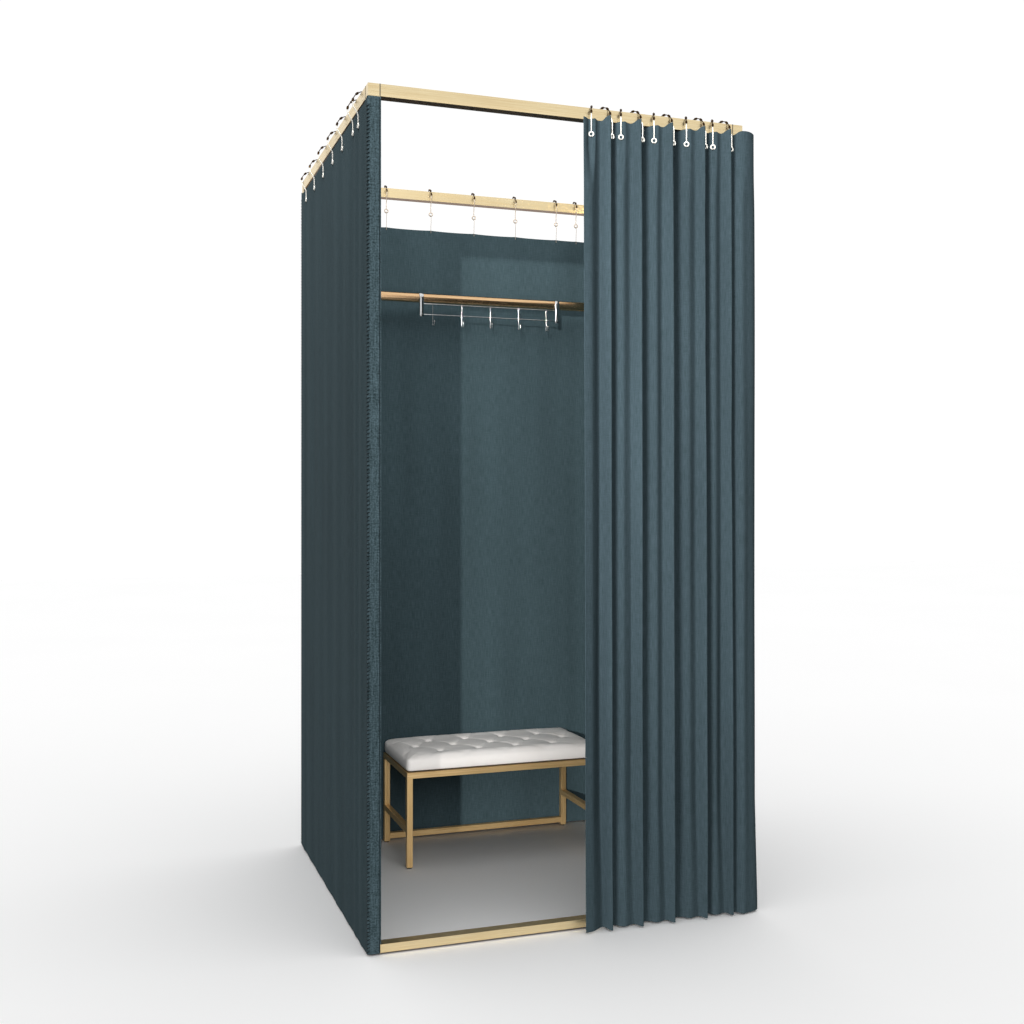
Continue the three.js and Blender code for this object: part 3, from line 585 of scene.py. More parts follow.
def brushed_gold(name, light, deep, scale, underside_shade=None, metallic=1.0):
    """Steel tube under tinted lacquer, brushed lengthwise: long soft streaks that break up the gloss."""
    material, tree, shader = start_finish(
        name, {"Metallic": metallic, "Roughness": 0.36, "Coat Weight": 0.05, "Coat Roughness": 0.2})
    # Real brushing is about 0.1 mm wide; it is drawn 1.4 mm wide so that it shows.
    streak = grain(tree, scale, 3.0)
    cloud = grain(tree, (5, 5, 5))
    masks = [
        (deep, {0: streak, 1: 0.3, 2: 0.75, 4: 0.75}),
        (deep, {0: cloud, 1: 0.35, 2: 0.7, 4: 0.35})]
    # Painted shade: faces that look down take the underside shade colour, darkest where they face straight
    # down.
    if underside_shade:
        facing = add_node(tree, "NewGeometry", output="Normal")
        down = add_node(tree, "SeparateXYZ", inputs={0: facing}, output=2)
        masks.append((underside_shade, {0: down, 1: -0.6, 2: -0.95}))
    tone = light
    for colour, mask in masks:
        share = add_node(tree, "MapRange", inputs=mask)
        tone = add_node(tree, "Mix", {"data_type": "RGBA"}, {0: share, 6: tone, 7: colour}, 2)
    tree.links.new(tone, shader.inputs["Base Color"])
    rough = add_node(tree, "MapRange", inputs={0: streak, 1: 0.3, 2: 0.7, 3: 0.28, 4: 0.44})
    tree.links.new(rough, shader.inputs["Roughness"])
    bump = add_node(tree, "Bump", inputs={"Strength": 0.2, "Distance": 0.0002, "Height": streak})
    tree.links.new(bump, shader.inputs["Normal"])
    return material


def edge_highlight_gold(name, colour):
    """Paler, smoother gold for the rounded edges: a painted highlight that draws a thin bright line along
    each edge.
    """
    return grained(
        name, {"Metallic": 1.0}, (60, 60, 60), colour, linear("#fff3d6"), detail=3.0, gloss=(0.2, 0.36))


def turned_metal(name, colour, deep, roughness, scale):
    """Plated and polished metal with faint lathe or drawing marks, which soften its reflections."""
    return grained(
        name, {"Metallic": 1.0}, scale, colour, deep, spread=(0.35, 0.7, 0.6),
        gloss=(roughness * 0.7, roughness * 1.3), relief=(0.15, 0.0001))


def ivory_enamel(name, colour):
    """Baked ivory enamel on wire: an even, slightly warm gloss, a little darker where it pooled."""
    pooled = tuple(channel * 0.78 for channel in colour[:3]) + (1.0,)
    return grained(name, {"IOR": 1.5, "Roughness": 0.28, "Coat Weight": 0.3}, (160, 160, 60), colour, pooled)


def moulded_nylon(name, colour):
    """Moulded black nylon: fine sparked grain, real grit 0.1 mm, drawn 0.8 mm."""
    return grained(
        name, {"IOR": 1.53, "Roughness": 0.55}, (1200, 1200, 1200), colour, linear("#2c2c2c"),
        relief=(0.3, 0.0002))


def stained_fibreboard(name):
    """Dark stained fibreboard: short pressed fibres about 4 mm long, with almost no gloss."""
    return grained(
        name, {"IOR": 1.5, "Roughness": 0.8}, (250, 900, 900), linear("#1d1815"), linear("#3a2f28"),
        detail=4.0)


def woven_cloth(name, deep, pale, pitch, coarse=1.0, speckle=0.0):
    """Plain-woven polyester with slubby yarn, like linen: crossed streaks, soft sheen and a dry surface.

    Its yarns are about 1.2 mm apart, and they are drawn at the given pitch so that they show."""
    material, tree, shader = start_finish(name, {
        "Roughness": 0.9, "IOR": 1.5, "Specular IOR Level": 0.03, "Diffuse Roughness": 0.3,
        "Sheen Weight": 0.012, "Sheen Roughness": 0.5, "Sheen Tint": linear("#b9cad4")})
    place = add_node(tree, "UVMap", {"uv_map": "cloth"})
    cells = 1 / (pitch * coarse)
    warp = grain(tree, (cells, cells / 14, 1), place=place)
    weft = grain(tree, (cells / 9, cells, 1), place=place)
    knot = grain(tree, (cells * 0.8, cells * 0.8, 1), 3.0, place)
    broad = grain(tree, (9, 1.2, 1), place=place)
    knots = 0.4 + speckle
    height = warp
    for yarn, weight in ((weft, 0.6), (knot, knots)):
        height = add_node(tree, "Math", {"operation": "MULTIPLY_ADD"}, {0: yarn, 1: weight, 2: height})
    wide = 0.55 - 0.1 * speckle
    centre = 0.8 + knots / 2
    share = add_node(tree, "MapRange", inputs={0: height, 1: centre - wide, 2: centre + wide})
    tone = add_node(tree, "Mix", {"data_type": "RGBA"}, {0: share, 6: deep, 7: pale}, 2)
    faded = add_node(tree, "MapRange", inputs={0: broad, 1: 0.3, 2: 0.7, 3: 0.9, 4: 1.08})
    tone = add_node(tree, "VectorMath", {"operation": "SCALE"}, {0: tone, "Scale": faded})
    tree.links.new(tone, shader.inputs["Base Color"])
    bump = add_node(tree, "Bump", inputs={"Strength": 0.35, "Distance": 0.0006, "Height": height})
    tree.links.new(bump, shader.inputs["Normal"])
    return material


def twisted_thread(name, colour):
    """Thick waxed thread, laid in slanting strands about 1 mm wide."""
    return grained(
        name, {"Roughness": 0.7, "IOR": 1.5, "Specular IOR Level": 0.2}, (700, 700, 300), colour,
        linear("#1d282c"))


def coated_upholstery(name, colour):
    """Coated upholstery fabric: a pebbled grain, real 0.7 mm, drawn 2 mm, with a low satin gloss."""
    material = grained(
        name, {"IOR": 1.47, "Roughness": 0.5, "Sheen Weight": 0.1}, (14, 14, 14), colour, linear("#dcd7d2"),
        detail=3.0)
    tree = material.node_tree
    place = add_node(tree, "TexCoord", output="Object")
    pebble = add_node(tree, "TexVoronoi", inputs={"Vector": place, "Scale": 480.0})
    bump = add_node(tree, "Bump", inputs={"Strength": 0.12, "Distance": 0.0004, "Height": pebble})
    tree.links.new(bump, tree.nodes["Principled BSDF"].inputs["Normal"])
    return material


def dress_node(node, edge, *materials):
    """Gives a node of the model its finish, and rounds its edges, which take the last of the materials."""
    item = frame["nodes"][node]
    item.data.materials.clear()
    for material in materials:
        item.data.materials.append(material)
    bevel = item.modifiers.new("rounded edges", "BEVEL")
    bevel.width = edge
    bevel.segments = 2
    bevel.limit_method = "ANGLE"
    bevel.angle_limit = math.radians(40)
    bevel.harden_normals = True
    bevel.material = len(materials) - 1
    item.data.polygons.foreach_set("use_smooth", np.ones(len(item.data.polygons), bool))


class FrameFinish(bpy.types.Operator):
    """Brushed gold finish, rounded edges, black bands of painted seam shade at the rail joints, and nylon
    feet of the frame
    """

    bl_idname = "fitting_room.frame_finish"
    bl_label = "Frame"

    def execute(self, context):
        metal = settings("metal")
        streaks = {"x": (9, 700, 700), "y": (700, 9, 700), "z": (700, 700, 9)}
        # 6a4412 is painted shade for the undersides of the frame's tubes.
        gold = {
            axis: brushed_gold(
                f"lacquered_steel_brushed_{axis}", metal.frame, metal.frame_shade, scale, linear("#6a4412"))
            for axis, scale in streaks.items()}
        # The rounded edges take a paler gold: a painted highlight.
        edge_highlight = edge_highlight_gold("lacquered_steel_painted_edge_highlight", metal.frame)
        nylon = moulded_nylon("moulded_black_nylon", linear("#161616"))
        for node in frame["nodes"]:
            axis, share = None, 1.0
            if node.startswith("post_"):
                axis = "z"
            elif node.startswith("corner_"):
                axis, share = "x", 0.7
            elif node.startswith("rail_bracket"):
                axis, share = "z", 0.6
            elif node.startswith("rail_"):
                axis = "x" if node.endswith(("front", "back")) else "y"
            elif node.startswith(("foot_", "bench_glide")):
                dress_node(node, PLASTIC_EDGE, nylon)
            if axis:
                dress_node(node, metal.edge * share, gold[axis], edge_highlight)
        # Painted shade: a thin black band round each rail end at a corner draws the dark line of the seam.
        seam_bands = Form()
        for x, y in itertools.product((-1, 1), repeat=2):
            for along in (0, 1):
                centre = np.array([x * SIDE_CENTRE, y * DEPTH_CENTRE, TOP_CENTRE])
                centre[along] -= (x, y)[along] * (TUBE - SEAM_BAND_HALF) / 2
                reach = np.full(3, TUBE / 2 + SEAM_BAND_PROUD)
                reach[along] = SEAM_BAND_HALF
                add_bar(seam_bands, centre - reach, centre + reach, SEAM_BAND_EDGE)
        make_piece(seam_bands, "rail_joint_seam_shade_bands", [nylon], "room_frame")
        return {"FINISHED"}


class HangingRail(bpy.types.Operator):
    """The round copper-plated hanging rail"""

    bl_idname = "fitting_room.hanging_rail"
    bl_label = "Hanging rail"

    def execute(self, context):
        copper = turned_metal(
            "copper_plated_steel_drawn", settings("metal").rail, linear("#c79b6c"), 0.24, (6, 500, 500))
        form = Form()
        left, right = RAIL_LOW[0] + RAIL_END_GAP, RAIL_HIGH[0] - RAIL_END_GAP
        path = np.linspace((left, *RAIL_MIDDLE[1:]), (right, *RAIL_MIDDLE[1:]), 9)
        form.add(*sweep(path, RAIL_RADIUS, 48, rounded=False))
        make_piece(form, "hanging_rail_tube", [copper], "room_frame", ["hanging_rail"])
        return {"FINISHED"}


# Roller hooks


def hook_seat_height(twist, arc, lean):
    """How high the arc's centre sits above the tube's middle when the beads rest on the tube's top."""
    turn = math.cos(math.radians(twist))
    height = -math.inf
    for side in (-1, 1):
        half_across = TUBE / 2 / turn + side * lean
        for angle in range(int(ARC_REACH) + 1):
            near_bead = any(abs(i * BEAD_STEP - angle) < 1 for i in range(-2, 3))
            clearance = (BEAD if near_bead else WIRE) + SEAT_GAP
            beyond = max(arc * math.sin(math.radians(angle)) - half_across, 0) * turn
            if beyond < clearance:
                above = math.sqrt(clearance ** 2 - beyond ** 2)
                height = max(height, TUBE / 2 + above - arc * math.cos(math.radians(angle)))
    return height


def add_roller_hook(
        form, seat, heading, ring_drop, reach, bend_end, twist=0, ring_out=0.0, arc=ARC, lean=0.0):
    """A roller hook over a tube at its seat: its ring hangs on the -Y side, turned by the heading.

    The twist is its angle to the tube. Paint 0 is the arc with its beads, 1 the shank and ring, and 2 the
    thread on the ring."""
    sides = settings("hook").sides
    centre = hook_seat_height(twist, arc, lean)

    def add(part, paint):
        points, faces = part
        form.add(points @ turned(heading).T + seat, faces, paint)

    def on_arc(degrees):
        angle = np.radians(degrees)
        return np.stack([0 * angle, -lean - arc * np.sin(angle), centre + arc * np.cos(angle)], -1)

    add(sweep(on_arc(np.linspace(-ARC_REACH, ARC_REACH - 6, 48)), WIRE, sides), 0)
    for i in range(-2, 3):
        along = unit(on_arc(i * BEAD_STEP + 1.0) - on_arc(i * BEAD_STEP - 1.0))
        add(bead(on_arc(i * BEAD_STEP), along, BEAD, BEAD_HALF_LENGTH, sides + 4), 0)
    start = on_arc(SHANK_START)
    leaving = unit(on_arc(ARC_REACH) - start)
    ring_y = -reach - ring_out
    end = np.array([0.0, ring_y, -bend_end])
    pull = np.linalg.norm(end - start) * 0.42
    shank = bezier(start, start + leaving * pull, end + np.array([0, 0, pull]), end, 22)
    ring_top = np.array([[0.0, ring_y, -ring_drop + RING + RING_WIRE * 0.4]])
    add(sweep(np.vstack([shank, ring_top]), SHANK, sides), 1)
    # A small collar where the shank joins the arc
    add(bead(start, leaving, SHANK * 1.35, 2.4, sides), 1)
    turn = np.linspace(0, 2 * math.pi, 28, endpoint=False)
    ring = np.stack([RING * np.sin(turn), 0 * turn + ring_y, RING * np.cos(turn) - ring_drop], -1)
    add(sweep(ring, RING_WIRE, sides, closed=True), 1)
    # Two turns of thread sew the ring to the cloth
    loop = np.linspace(-0.2, 1.2, 9) * math.pi
    around = RING_WIRE + 0.5
    for slant in (-1.1, 1.1):
        thread = np.stack([
            slant + 0 * loop, ring_y - around * np.sin(loop), around * np.cos(loop) - ring_drop - RING], -1)
        add(sweep(thread, THREAD, 6), 2)


def hook_finishes():
    """The four finishes of the hooks, made once: arc, shank, thread, and a darker copy of the shank's ivory
    for the back hooks, which is painted shade.
    """
    names = (
        "bronzed_steel_arc", "ivory_enamelled_steel", "waxed_polyester_thread", "ivory_enamelled_steel_painted_shade")
    if names[0] not in bpy.data.materials:
        hook = settings("hook")
        turned_metal(names[0], hook.arc, linear("#1f1710"), 0.34, (300, 300, 300))
        ivory_enamel(names[1], hook.shank)
        twisted_thread(names[2], settings("cloth").shade)
        ivory_enamel(names[3], hook.painted_shade_ivory)
    return [bpy.data.materials[name] for name in names]


def front_hooks():
    """Ring place and twist of each hook of the front curtain, from the leading one."""
    hooks = []
    for pair in zip(FACING_SHARES, TURNED_SHARES):
        for share, twist in zip(pair, (FACING_TWIST, TURNED_TWIST)):
            hooks.append((FIRST_RING_X + share * GATHERED, twist))
    return hooks


def outward_of(twist):
    """The outward direction of a hook seen from above."""
    return np.array([math.sin(math.radians(twist)), -math.cos(math.radians(twist))])


class FrontHooks(bpy.types.Operator):
    """The ten roller hooks of the front curtain, each on its own body"""

    bl_idname = "fitting_room.front_hooks"
    bl_label = "Front hooks"

    def execute(self, context):
        for i, (ring_x, twist) in enumerate(front_hooks()):
            seat = np.array([ring_x - outward_of(twist)[0] * FRONT_REACH, -DEPTH_CENTRE, TOP_CENTRE])
            form = Form()
            add_roller_hook(form, seat, twist, FRONT_RING_DROP, FRONT_REACH, FRONT_BEND_END, twist=twist)
            name = f"front_hook_{i + 1:02d}"
            make_piece(form, f"{name}_roller", hook_finishes(), name, [name])
        return {"FINISHED"}


class WallHooks(bpy.types.Operator):
    """The roller hooks of the left, right and back curtains"""

    bl_idname = "fitting_room.wall_hooks"
    bl_label = "Wall hooks"

    def execute(self, context):
        arc, shank, thread, painted_shade_ivory = hook_finishes()
        for name, side in (("left", -1), ("right", 1)):
            form = Form()
            for share in SIDE_SHARES:
                seat = np.array([side * SIDE_CENTRE, share * HALF_DEPTH * 2, TOP_CENTRE])
                add_roller_hook(
                    form, seat, side * 90, SIDE_RING_DROP, SIDE_REACH, SIDE_BEND_END,
                    ring_out=SIDE_RING_OUT, arc=SIDE_ARC, lean=SIDE_LEAN)
            make_piece(form, f"{name}_curtain_hooks", [arc, shank, thread], "room_frame")
        form = Form()
        link_top, link_foot = TOP_CENTRE - BACK_RING_DROP - RING + 2, BACK_TOP - 8
        for share in BACK_SHARES:
            x = share * HALF_WIDTH * 2
            seat = np.array([x, DEPTH_CENTRE, TOP_CENTRE])
            add_roller_hook(form, seat, 0, BACK_RING_DROP, BACK_REACH, BACK_BEND_END)
            link = bezier(
                (x, BACK_CLOTH_Y - 2.6, link_top), (x + 1.5, BACK_CLOTH_Y - 3.4, link_top - 18),
                (x - 1.5, BACK_CLOTH_Y - 2.6, link_foot + 22), (x, BACK_CLOTH_Y - 1.9, link_foot), 14)
            form.add(*sweep(link, LINK_THREAD, 8), paint=1)
        # The back hooks' shanks, rings and thread links take the darker ivory, which is painted shade.
        make_piece(form, "back_curtain_hooks", [arc, painted_shade_ivory, thread], "room_frame")
        return {"FINISHED"}


# Curtains


def cloth_finishes():
    """Cloth, binding and whip stitching, made once."""
    names = ("woven_polyester_curtain", "woven_polyester_binding", "waxed_whip_stitch")
    if names[0] not in bpy.data.materials:
        cloth = settings("cloth")
        woven_cloth(names[0], cloth.shade, cloth.light, cloth.yarn_pitch)
        woven_cloth(names[1], cloth.shade, cloth.binding, cloth.yarn_pitch, coarse=1.4, speckle=0.9)
        twisted_thread(names[2], cloth.stitching)
    return [bpy.data.materials[name] for name in names]


def rows_between(stops, counts):
    """Heights from stop to stop up a curtain, each stretch parted into that many rows."""
    rows = [np.linspace(a, b, count, endpoint=False) for a, b, count in zip(stops, stops[1:], counts)]
    return np.concatenate([*rows, stops[-1:]])


def length_along(line):
    """The length from the start of a plan line to each of its points."""
    return np.concatenate([[0], np.cumsum(np.linalg.norm(np.diff(line, axis=0), axis=1))])


def ripples(along, heights, strength, seed):
    """Soft upright ripples of a hanging cloth: an even height field over its length and height."""
    s, h = np.meshgrid(along, heights)
    waves = (
        1.00 * np.sin(s / 31 + 1.3 * np.sin(h / 410 + seed) + seed)
        + 0.62 * np.sin(s / 17.3 + 1.7 * np.sin(h / 270 + 2 * seed) + 2.1)
        + 0.34 * np.sin(s / 9.1 + 2.2 * np.sin(h / 350 - seed) + 0.7)
        + 0.30 * np.sin(s / 71 - h / 390 + seed))
    return strength * waves / 1.6


def wall_grid(line, swells, bottoms, tops, hooked, seed):
    """The middle layer of a wall curtain from its plan line and each column's outward swell, bottom and top.

    Hooked is how freely each column ripples, from 0 where the cloth lies on a post to 1."""
    heights = rows_between(WALL_STOPS, WALL_ROWS)
    along = length_along(line)
    share = ((heights - HEM_LIFT) / (heights[-1] - HEM_LIFT))[:, None]
    strength = settings("cloth").ripple / MM * STRETCHED_RIPPLE
    calm = ease((heights[-1] - heights) / CALM_TOP)[:, None] * 0.85 + 0.15
    wave = (ripples(along, heights, strength, seed) * calm + strength) * hooked
    outward = unit(np.stack([np.gradient(line[:, 1]), -np.gradient(line[:, 0])], -1))
    plan = line + outward * (swells + wave)[..., None]
    return np.dstack([plan, bottoms + share * (tops - bottoms)]), along


def swell_between(places, hooks, start, end, depth):
    """How far a taut curtain swells out between its hooks, and how far its top edge sags there."""
    stops = np.array([start, *hooks, end])
    swell, sag = np.zeros(len(places)), np.zeros(len(places))
    for a, b in zip(stops[:-1], stops[1:]):
        share = (places - a) / (b - a)
        inside = (share >= 0) & (share <= 1)
        swell[inside] = depth * np.sin(math.pi * share[inside]) ** 2
        sag[inside] = SAG * np.sin(math.pi * share[inside]) ** 0.8 * min(1, (b - a) / 120)
    return swell, sag


def side_curtain(side):
    """A side curtain outside the posts: its middle layer, its length, and its binding's width in columns."""
    outside = HALF_WIDTH + SEAT_GAP + CLOTH / 2
    around = HALF_DEPTH + SEAT_GAP + CLOTH / 2
    inside = HALF_WIDTH - TUBE - SEAT_GAP - CLOTH / 2
    corner = FOLDED_CORNER
    turn = np.linspace(0, math.pi / 2, 7)[1:-1]
    across, down = corner * np.sin(turn), corner * np.cos(turn)
    # From the tuck behind the post, round its inner corner, over its face and round its outer corner
    front = np.vstack([
        [(inside, 11.0 - around), (inside, 7.0 - around), (inside, corner - around)],
        np.stack([inside + corner - down, corner - around - across], -1),
        np.linspace((inside + corner, -around), (outside - corner, -around), 11),
        np.stack([outside - corner + across, corner - around - down], -1)])
    flank = np.linspace((outside, corner - around), (outside, around - corner), FLANK_COLUMNS)
    line = np.vstack([front, flank, front[::-1] * (1, -1)])
    hooks = [share * HALF_DEPTH * 2 for share in SIDE_SHARES]
    post_face = HALF_DEPTH - TUBE
    swell, sag = swell_between(line[:, 1], hooks, -post_face, post_face, SIDE_SWELL)
    on_flank = np.abs(line[:, 1]) < post_face
    rise = ease((np.abs(line[:, 1]) - post_face) / TUBE)
    tops = SIDE_TOP + (WRAP_TOP - SIDE_TOP) * rise - sag * on_flank
    hooked = ease((HALF_DEPTH - 6 - np.abs(line[:, 1])) / 60)
    # The part that is tucked in past the post's inner corner stands clear of the sill.
    bottoms = np.where(line[:, 0] < inside + corner - 0.01, SILL_CLEAR_HEIGHT - 2, HEM_LIFT)
    seed = LEFT_SEED if side < 0 else RIGHT_SEED
    grid, along = wall_grid(line, swell * on_flank, bottoms, tops, hooked, seed)
    if side < 0:
        grid = grid[:, ::-1] * (-1, 1, 1)
        along = along[-1] - along[::-1]
    return grid, along, len(front)


def whip_stitches(form, side, end):
    """Thick thread laid over a corner of a side curtain, in slanting stitches from hem to top."""
    pitch = settings("cloth").stitch_pitch / MM
    corner = np.array([HALF_WIDTH, HALF_DEPTH, 0]) + (SEAT_GAP + CLOTH) * np.array([1, 1, 0])
    flip = np.array([side, end, 1])
    stitch = np.array(STITCH)
    for i in range(int((WRAP_TOP - HEM_LIFT - 12) / pitch)):
        path = corner + stitch[:, :3] + (0, 0, HEM_LIFT + 6 + i * pitch)
        wobble = STITCH_WOBBLE * math.sin(i * 2.4)
        path[0, 1] += wobble
        path[-1, 0] -= wobble
        form.add(*sweep(path * flip, stitch[:, 3], 7, rounded=False))
    # The seam along the binding's inner edge
    heights = np.linspace(HEM_LIFT + 2, WRAP_TOP - 2, 90)
    seam_x = HALF_WIDTH - TUBE + SEAM_IN + 0.25 * np.sin(heights / 13)
    seam = np.stack([seam_x, np.full(90, corner[1] + 0.2), heights], -1)
    form.add(*sweep(seam * flip, SEAM_THREAD, 6, rounded=False))


class WallCurtains(bpy.types.Operator):
    """The left, right and back curtains, with binding and whip stitching"""

    bl_idname = "fitting_room.wall_curtains"
    bl_label = "Wall curtains"

    def execute(self, context):
        cloth, binding, stitch = cloth_finishes()
        for name, side in (("left", -1), ("right", 1)):
            grid, along, bound = side_curtain(side)
            normals = sheet_normals(grid)
            last = grid.shape[1] - bound
            form = Form()
            for span, edges, paint in (
                    (np.s_[:bound], ("left", "hem", "top"), 1),
                    (np.s_[bound - 1:last + 1], ("hem", "top"), 0),
                    (np.s_[last:], ("right", "hem", "top"), 1)):
                add_cloth(form, grid[:, span], normals[:, span], along[span], edges, paint)
            piece = make_piece(
                form, f"{name}_curtain_cloth", [cloth, binding], "room_frame",
                [f"curtain_{name}"])
            threads = Form()
            for end in (-1, 1):
                whip_stitches(threads, side, end)
            stitches = make_piece(
                threads, f"{name}_curtain_whip_stitch", [stitch], "room_frame")
        line = np.linspace((-BACK_CLOTH_HALF, BACK_CLOTH_Y), (BACK_CLOTH_HALF, BACK_CLOTH_Y), BACK_COLUMNS)
        hooks = [share * HALF_WIDTH * 2 for share in BACK_SHARES]
        swell, sag = swell_between(line[:, 0], hooks, -BACK_CLOTH_HALF, BACK_CLOTH_HALF, BACK_SWELL)
        grid, along = wall_grid(line, swell, HEM_LIFT, BACK_TOP - sag, 1, BACK_SEED)
        form = Form()
        add_cloth(form, grid, sheet_normals(grid), along, ("left", "right", "hem", "top"))
        piece = make_piece(
            form, "back_curtain_cloth", [cloth], "room_frame", ["curtain_back"])
        return {"FINISHED"}


def pinch_points(ring_x, twist):
    """Where the cloth passes just behind a ring, on the two sides of the ring's middle."""
    outward = outward_of(twist)
    pinch = np.array([ring_x, -DEPTH_CENTRE]) - outward * PINCH_BEHIND
    pinch[1] += outward[1] * FRONT_REACH
    along = np.array([-outward[1], outward[0]])
    return pinch - along * PINCH_HALF, pinch + along * PINCH_HALF


def pleat_lines():
    """Plan points of the front curtain at the rings and hanging free, and where the rings are among them.

    Both lines have the same number of points, so that one turns into the other down the cloth. The plain
    numbers are the shape of a pleat seen from above, in millimetres from a ring, a crest or a post."""
    hooks = front_hooks()
    held, free, rings = [], [], []
    for i, (ring_x, twist) in enumerate(hooks):
        left, right = pinch_points(ring_x, twist)
        first, last = i == 0, i + 1 == len(hooks)
        sway = 1.6 * math.sin(2.3 * i + 0.6)
        if first:
            held.append((ring_x - LEADING_EDGE, CREST_Y + 14))
            free.append((ring_x - LEADING_EDGE, CREST_Y + 7))
        rings.append(len(held) + 0.5)
        held += [tuple(left), tuple(right)]
        if twist == FACING_TWIST:
            # From this ring over the pleat's crest to the next ring
            crest = hooks[i + 1][0] - CREST_BEFORE_RING
            held += [
                ((right[0] + crest) / 2, (2 * right[1] + CREST_Y) / 3), (crest - 9, CREST_Y + 4),
                (crest, CREST_Y), (crest + 4, CREST_Y + 9), (crest + 4, (CREST_Y + left[1]) / 2 + 4)]
            # The leading fold falls away from the edge to its valley, and the others rise to the ring first.
            fall = -7 if first else 5
            valley = VALLEY_Y + (FIRST_VALLEY_DEEPER if first else 0)
            free += [
                (ring_x - 8, FACING_FOLD_Y + fall), (ring_x + 1, FACING_FOLD_Y),
                (crest - 15 + sway, valley - sway), (crest - 5, CREST_Y + 11),
                (crest, CREST_Y - sway / 2), (crest + 4, CREST_Y + 9), (crest + 6, CREST_Y + 25)]
        elif last:
            free += [(ring_x - 7, CREST_Y + 27), (ring_x + 3, CREST_Y + 25)]
        else:
            # From this ring through the fold behind to the next ring
            next_x = hooks[i + 1][0]
            ahead = pinch_points(*hooks[i + 1])[0]
            for share, lift in ((0.25, 6), (0.5, 0), (0.75, 6)):
                held.append((right[0] + (ahead[0] - right[0]) * share, BACK_FOLD_Y - lift))
            free += [(ring_x - 4, DEEP_FOLD_Y - 12), (ring_x + 2, DEEP_FOLD_Y - 4)]
            for share, lift in ((0, 0), (0.5, 3), (1, 12)):
                free.append((ring_x + 7 + (next_x - ring_x - 18) * share, DEEP_FOLD_Y - lift - sway))
    # Round the corner post to the curtain's fixed edge
    corner = HALF_WIDTH + 24
    held += [
        (HALF_WIDTH - 9, (2 * CREST_Y - HALF_DEPTH) / 3), (corner - 12, CREST_Y), (corner, CREST_Y + 12),
        (corner - 4, CREST_Y + 34), (HALF_WIDTH + 7, CREST_Y + 46)]
    free += [
        (HALF_WIDTH - 22, CREST_Y + 2), (HALF_WIDTH - 2, CREST_Y + 8), (corner - 3, CREST_Y + 17),
        (corner + 7, CREST_Y + 31), (HALF_WIDTH + 7, CREST_Y + 46)]
    return np.array(held, float), np.array(free, float), rings


def smooth_line(points, steps):
    """A centripetal curve through the points, with that many steps between two of them."""
    padded = np.vstack([2 * points[0] - points[1], points, 2 * points[-1] - points[-2]])
    t = np.linspace(0, 1, steps, endpoint=False)[:, None]
    curve = []
    for i in range(len(points) - 1):
        a, b, c, d = padded[i:i + 4]
        t0, t1, t2 = (max(np.linalg.norm(q - p), 1e-4) ** 0.5 for p, q in ((a, b), (b, c), (c, d)))
        leave = ((b - a) / t0 - (c - a) / (t0 + t1) + (c - b) / t1) * t1
        arrive = ((c - b) / t1 - (d - b) / (t1 + t2) + (d - c) / t2) * t1
        bend, twist = 3 * (c - b) - 2 * leave - arrive, leave + arrive - 2 * (c - b)
        curve.append(b + leave * t + bend * t * t + twist * t ** 3)
    return np.vstack([*curve, points[-1:]])


def front_cloth():
    """The front curtain's middle layer, its length from the leading edge, and each ring's column."""
    held, free, rings = pleat_lines()
    held, free = smooth_line(held, CURVE_STEPS), smooth_line(free, CURVE_STEPS)
    length = HELD_SHARE * length_along(held) + (1 - HELD_SHARE) * length_along(free)
    marks = [0.0, *(length[int(ring * CURVE_STEPS)] for ring in rings), length[-1]]
    stations, columns = [0.0], [0]
    for a, b in zip(marks[:-1], marks[1:]):
        count = max(int(math.ceil((b - a) / COLUMN_WIDTH)), 3)
        stations += list(np.linspace(a, b, count + 1)[1:])
        columns.append(len(stations) - 1)
    along = np.array(stations)
    held, free = (
        np.stack([np.interp(along, length, line[:, axis]) for axis in (0, 1)], -1) for line in (held, free))
    # Below each ring the cloth stays in line with it.
    free[:, 0] += np.interp(along, along[columns], (held - free)[columns, 0])
    heights = rows_between(FRONT_STOPS, FRONT_ROWS)
    upright = heights[:, None]
    # The folds start at the top, apart from where a ring pinches the cloth, and are full below the rings.
    near_ring = np.min([np.abs(along - along[c]) for c in columns[1:-1]], axis=0)
    early = EARLY_FOLDS * (1 - np.exp(-(near_ring / PINCH_FADE) ** 2))
    loose = early + (1 - early) * ease((RING_BOTTOM - upright) / FREE_FALL)
    plan = held + (free - held) * loose[..., None]
    # The crests lean out towards the hem, and the folds behind come forward over the sill.
    depth = (plan[..., 1] - CREST_Y) / (BACK_FOLD_Y - CREST_Y)
    flare = np.clip(1 - (upright - HEM_LIFT) / (RING_BOTTOM - HEM_LIFT), 0, 1)
    front = CREST_Y + (CREST_HEM_Y - CREST_Y) * flare
    settled = np.clip((SETTLE_HEIGHT - upright) / (SETTLE_HEIGHT - SILL_CLEAR_HEIGHT), 0, 1)
    back = BACK_FOLD_Y + (-HALF_DEPTH - SEAT_GAP - CLOTH - BACK_FOLD_Y) * settled
    y = front + (back - front) * depth
    # In front of the rail the cloth's top stands a little higher than between the rings.
    ahead = ease((-HALF_DEPTH - 5 - y) / 26) * ease(along / 45)
    z = upright + HEAD_RISE * ahead * ease((upright - HEAD_HEIGHT) / (WRAP_TOP - HEAD_HEIGHT))
    grid = np.stack([plan[..., 0], y, z], -1)
    off_rings = ease((near_ring - 8) / 22) * ease((RING_BOTTOM + 10 - upright) / 220)
    off_hem = ease((upright - 40) / 200)
    waves = ripples(along, heights, settings("cloth").ripple / MM, FRONT_SEED) * off_rings * off_hem
    return grid + sheet_normals(grid) * waves[..., None], along, columns


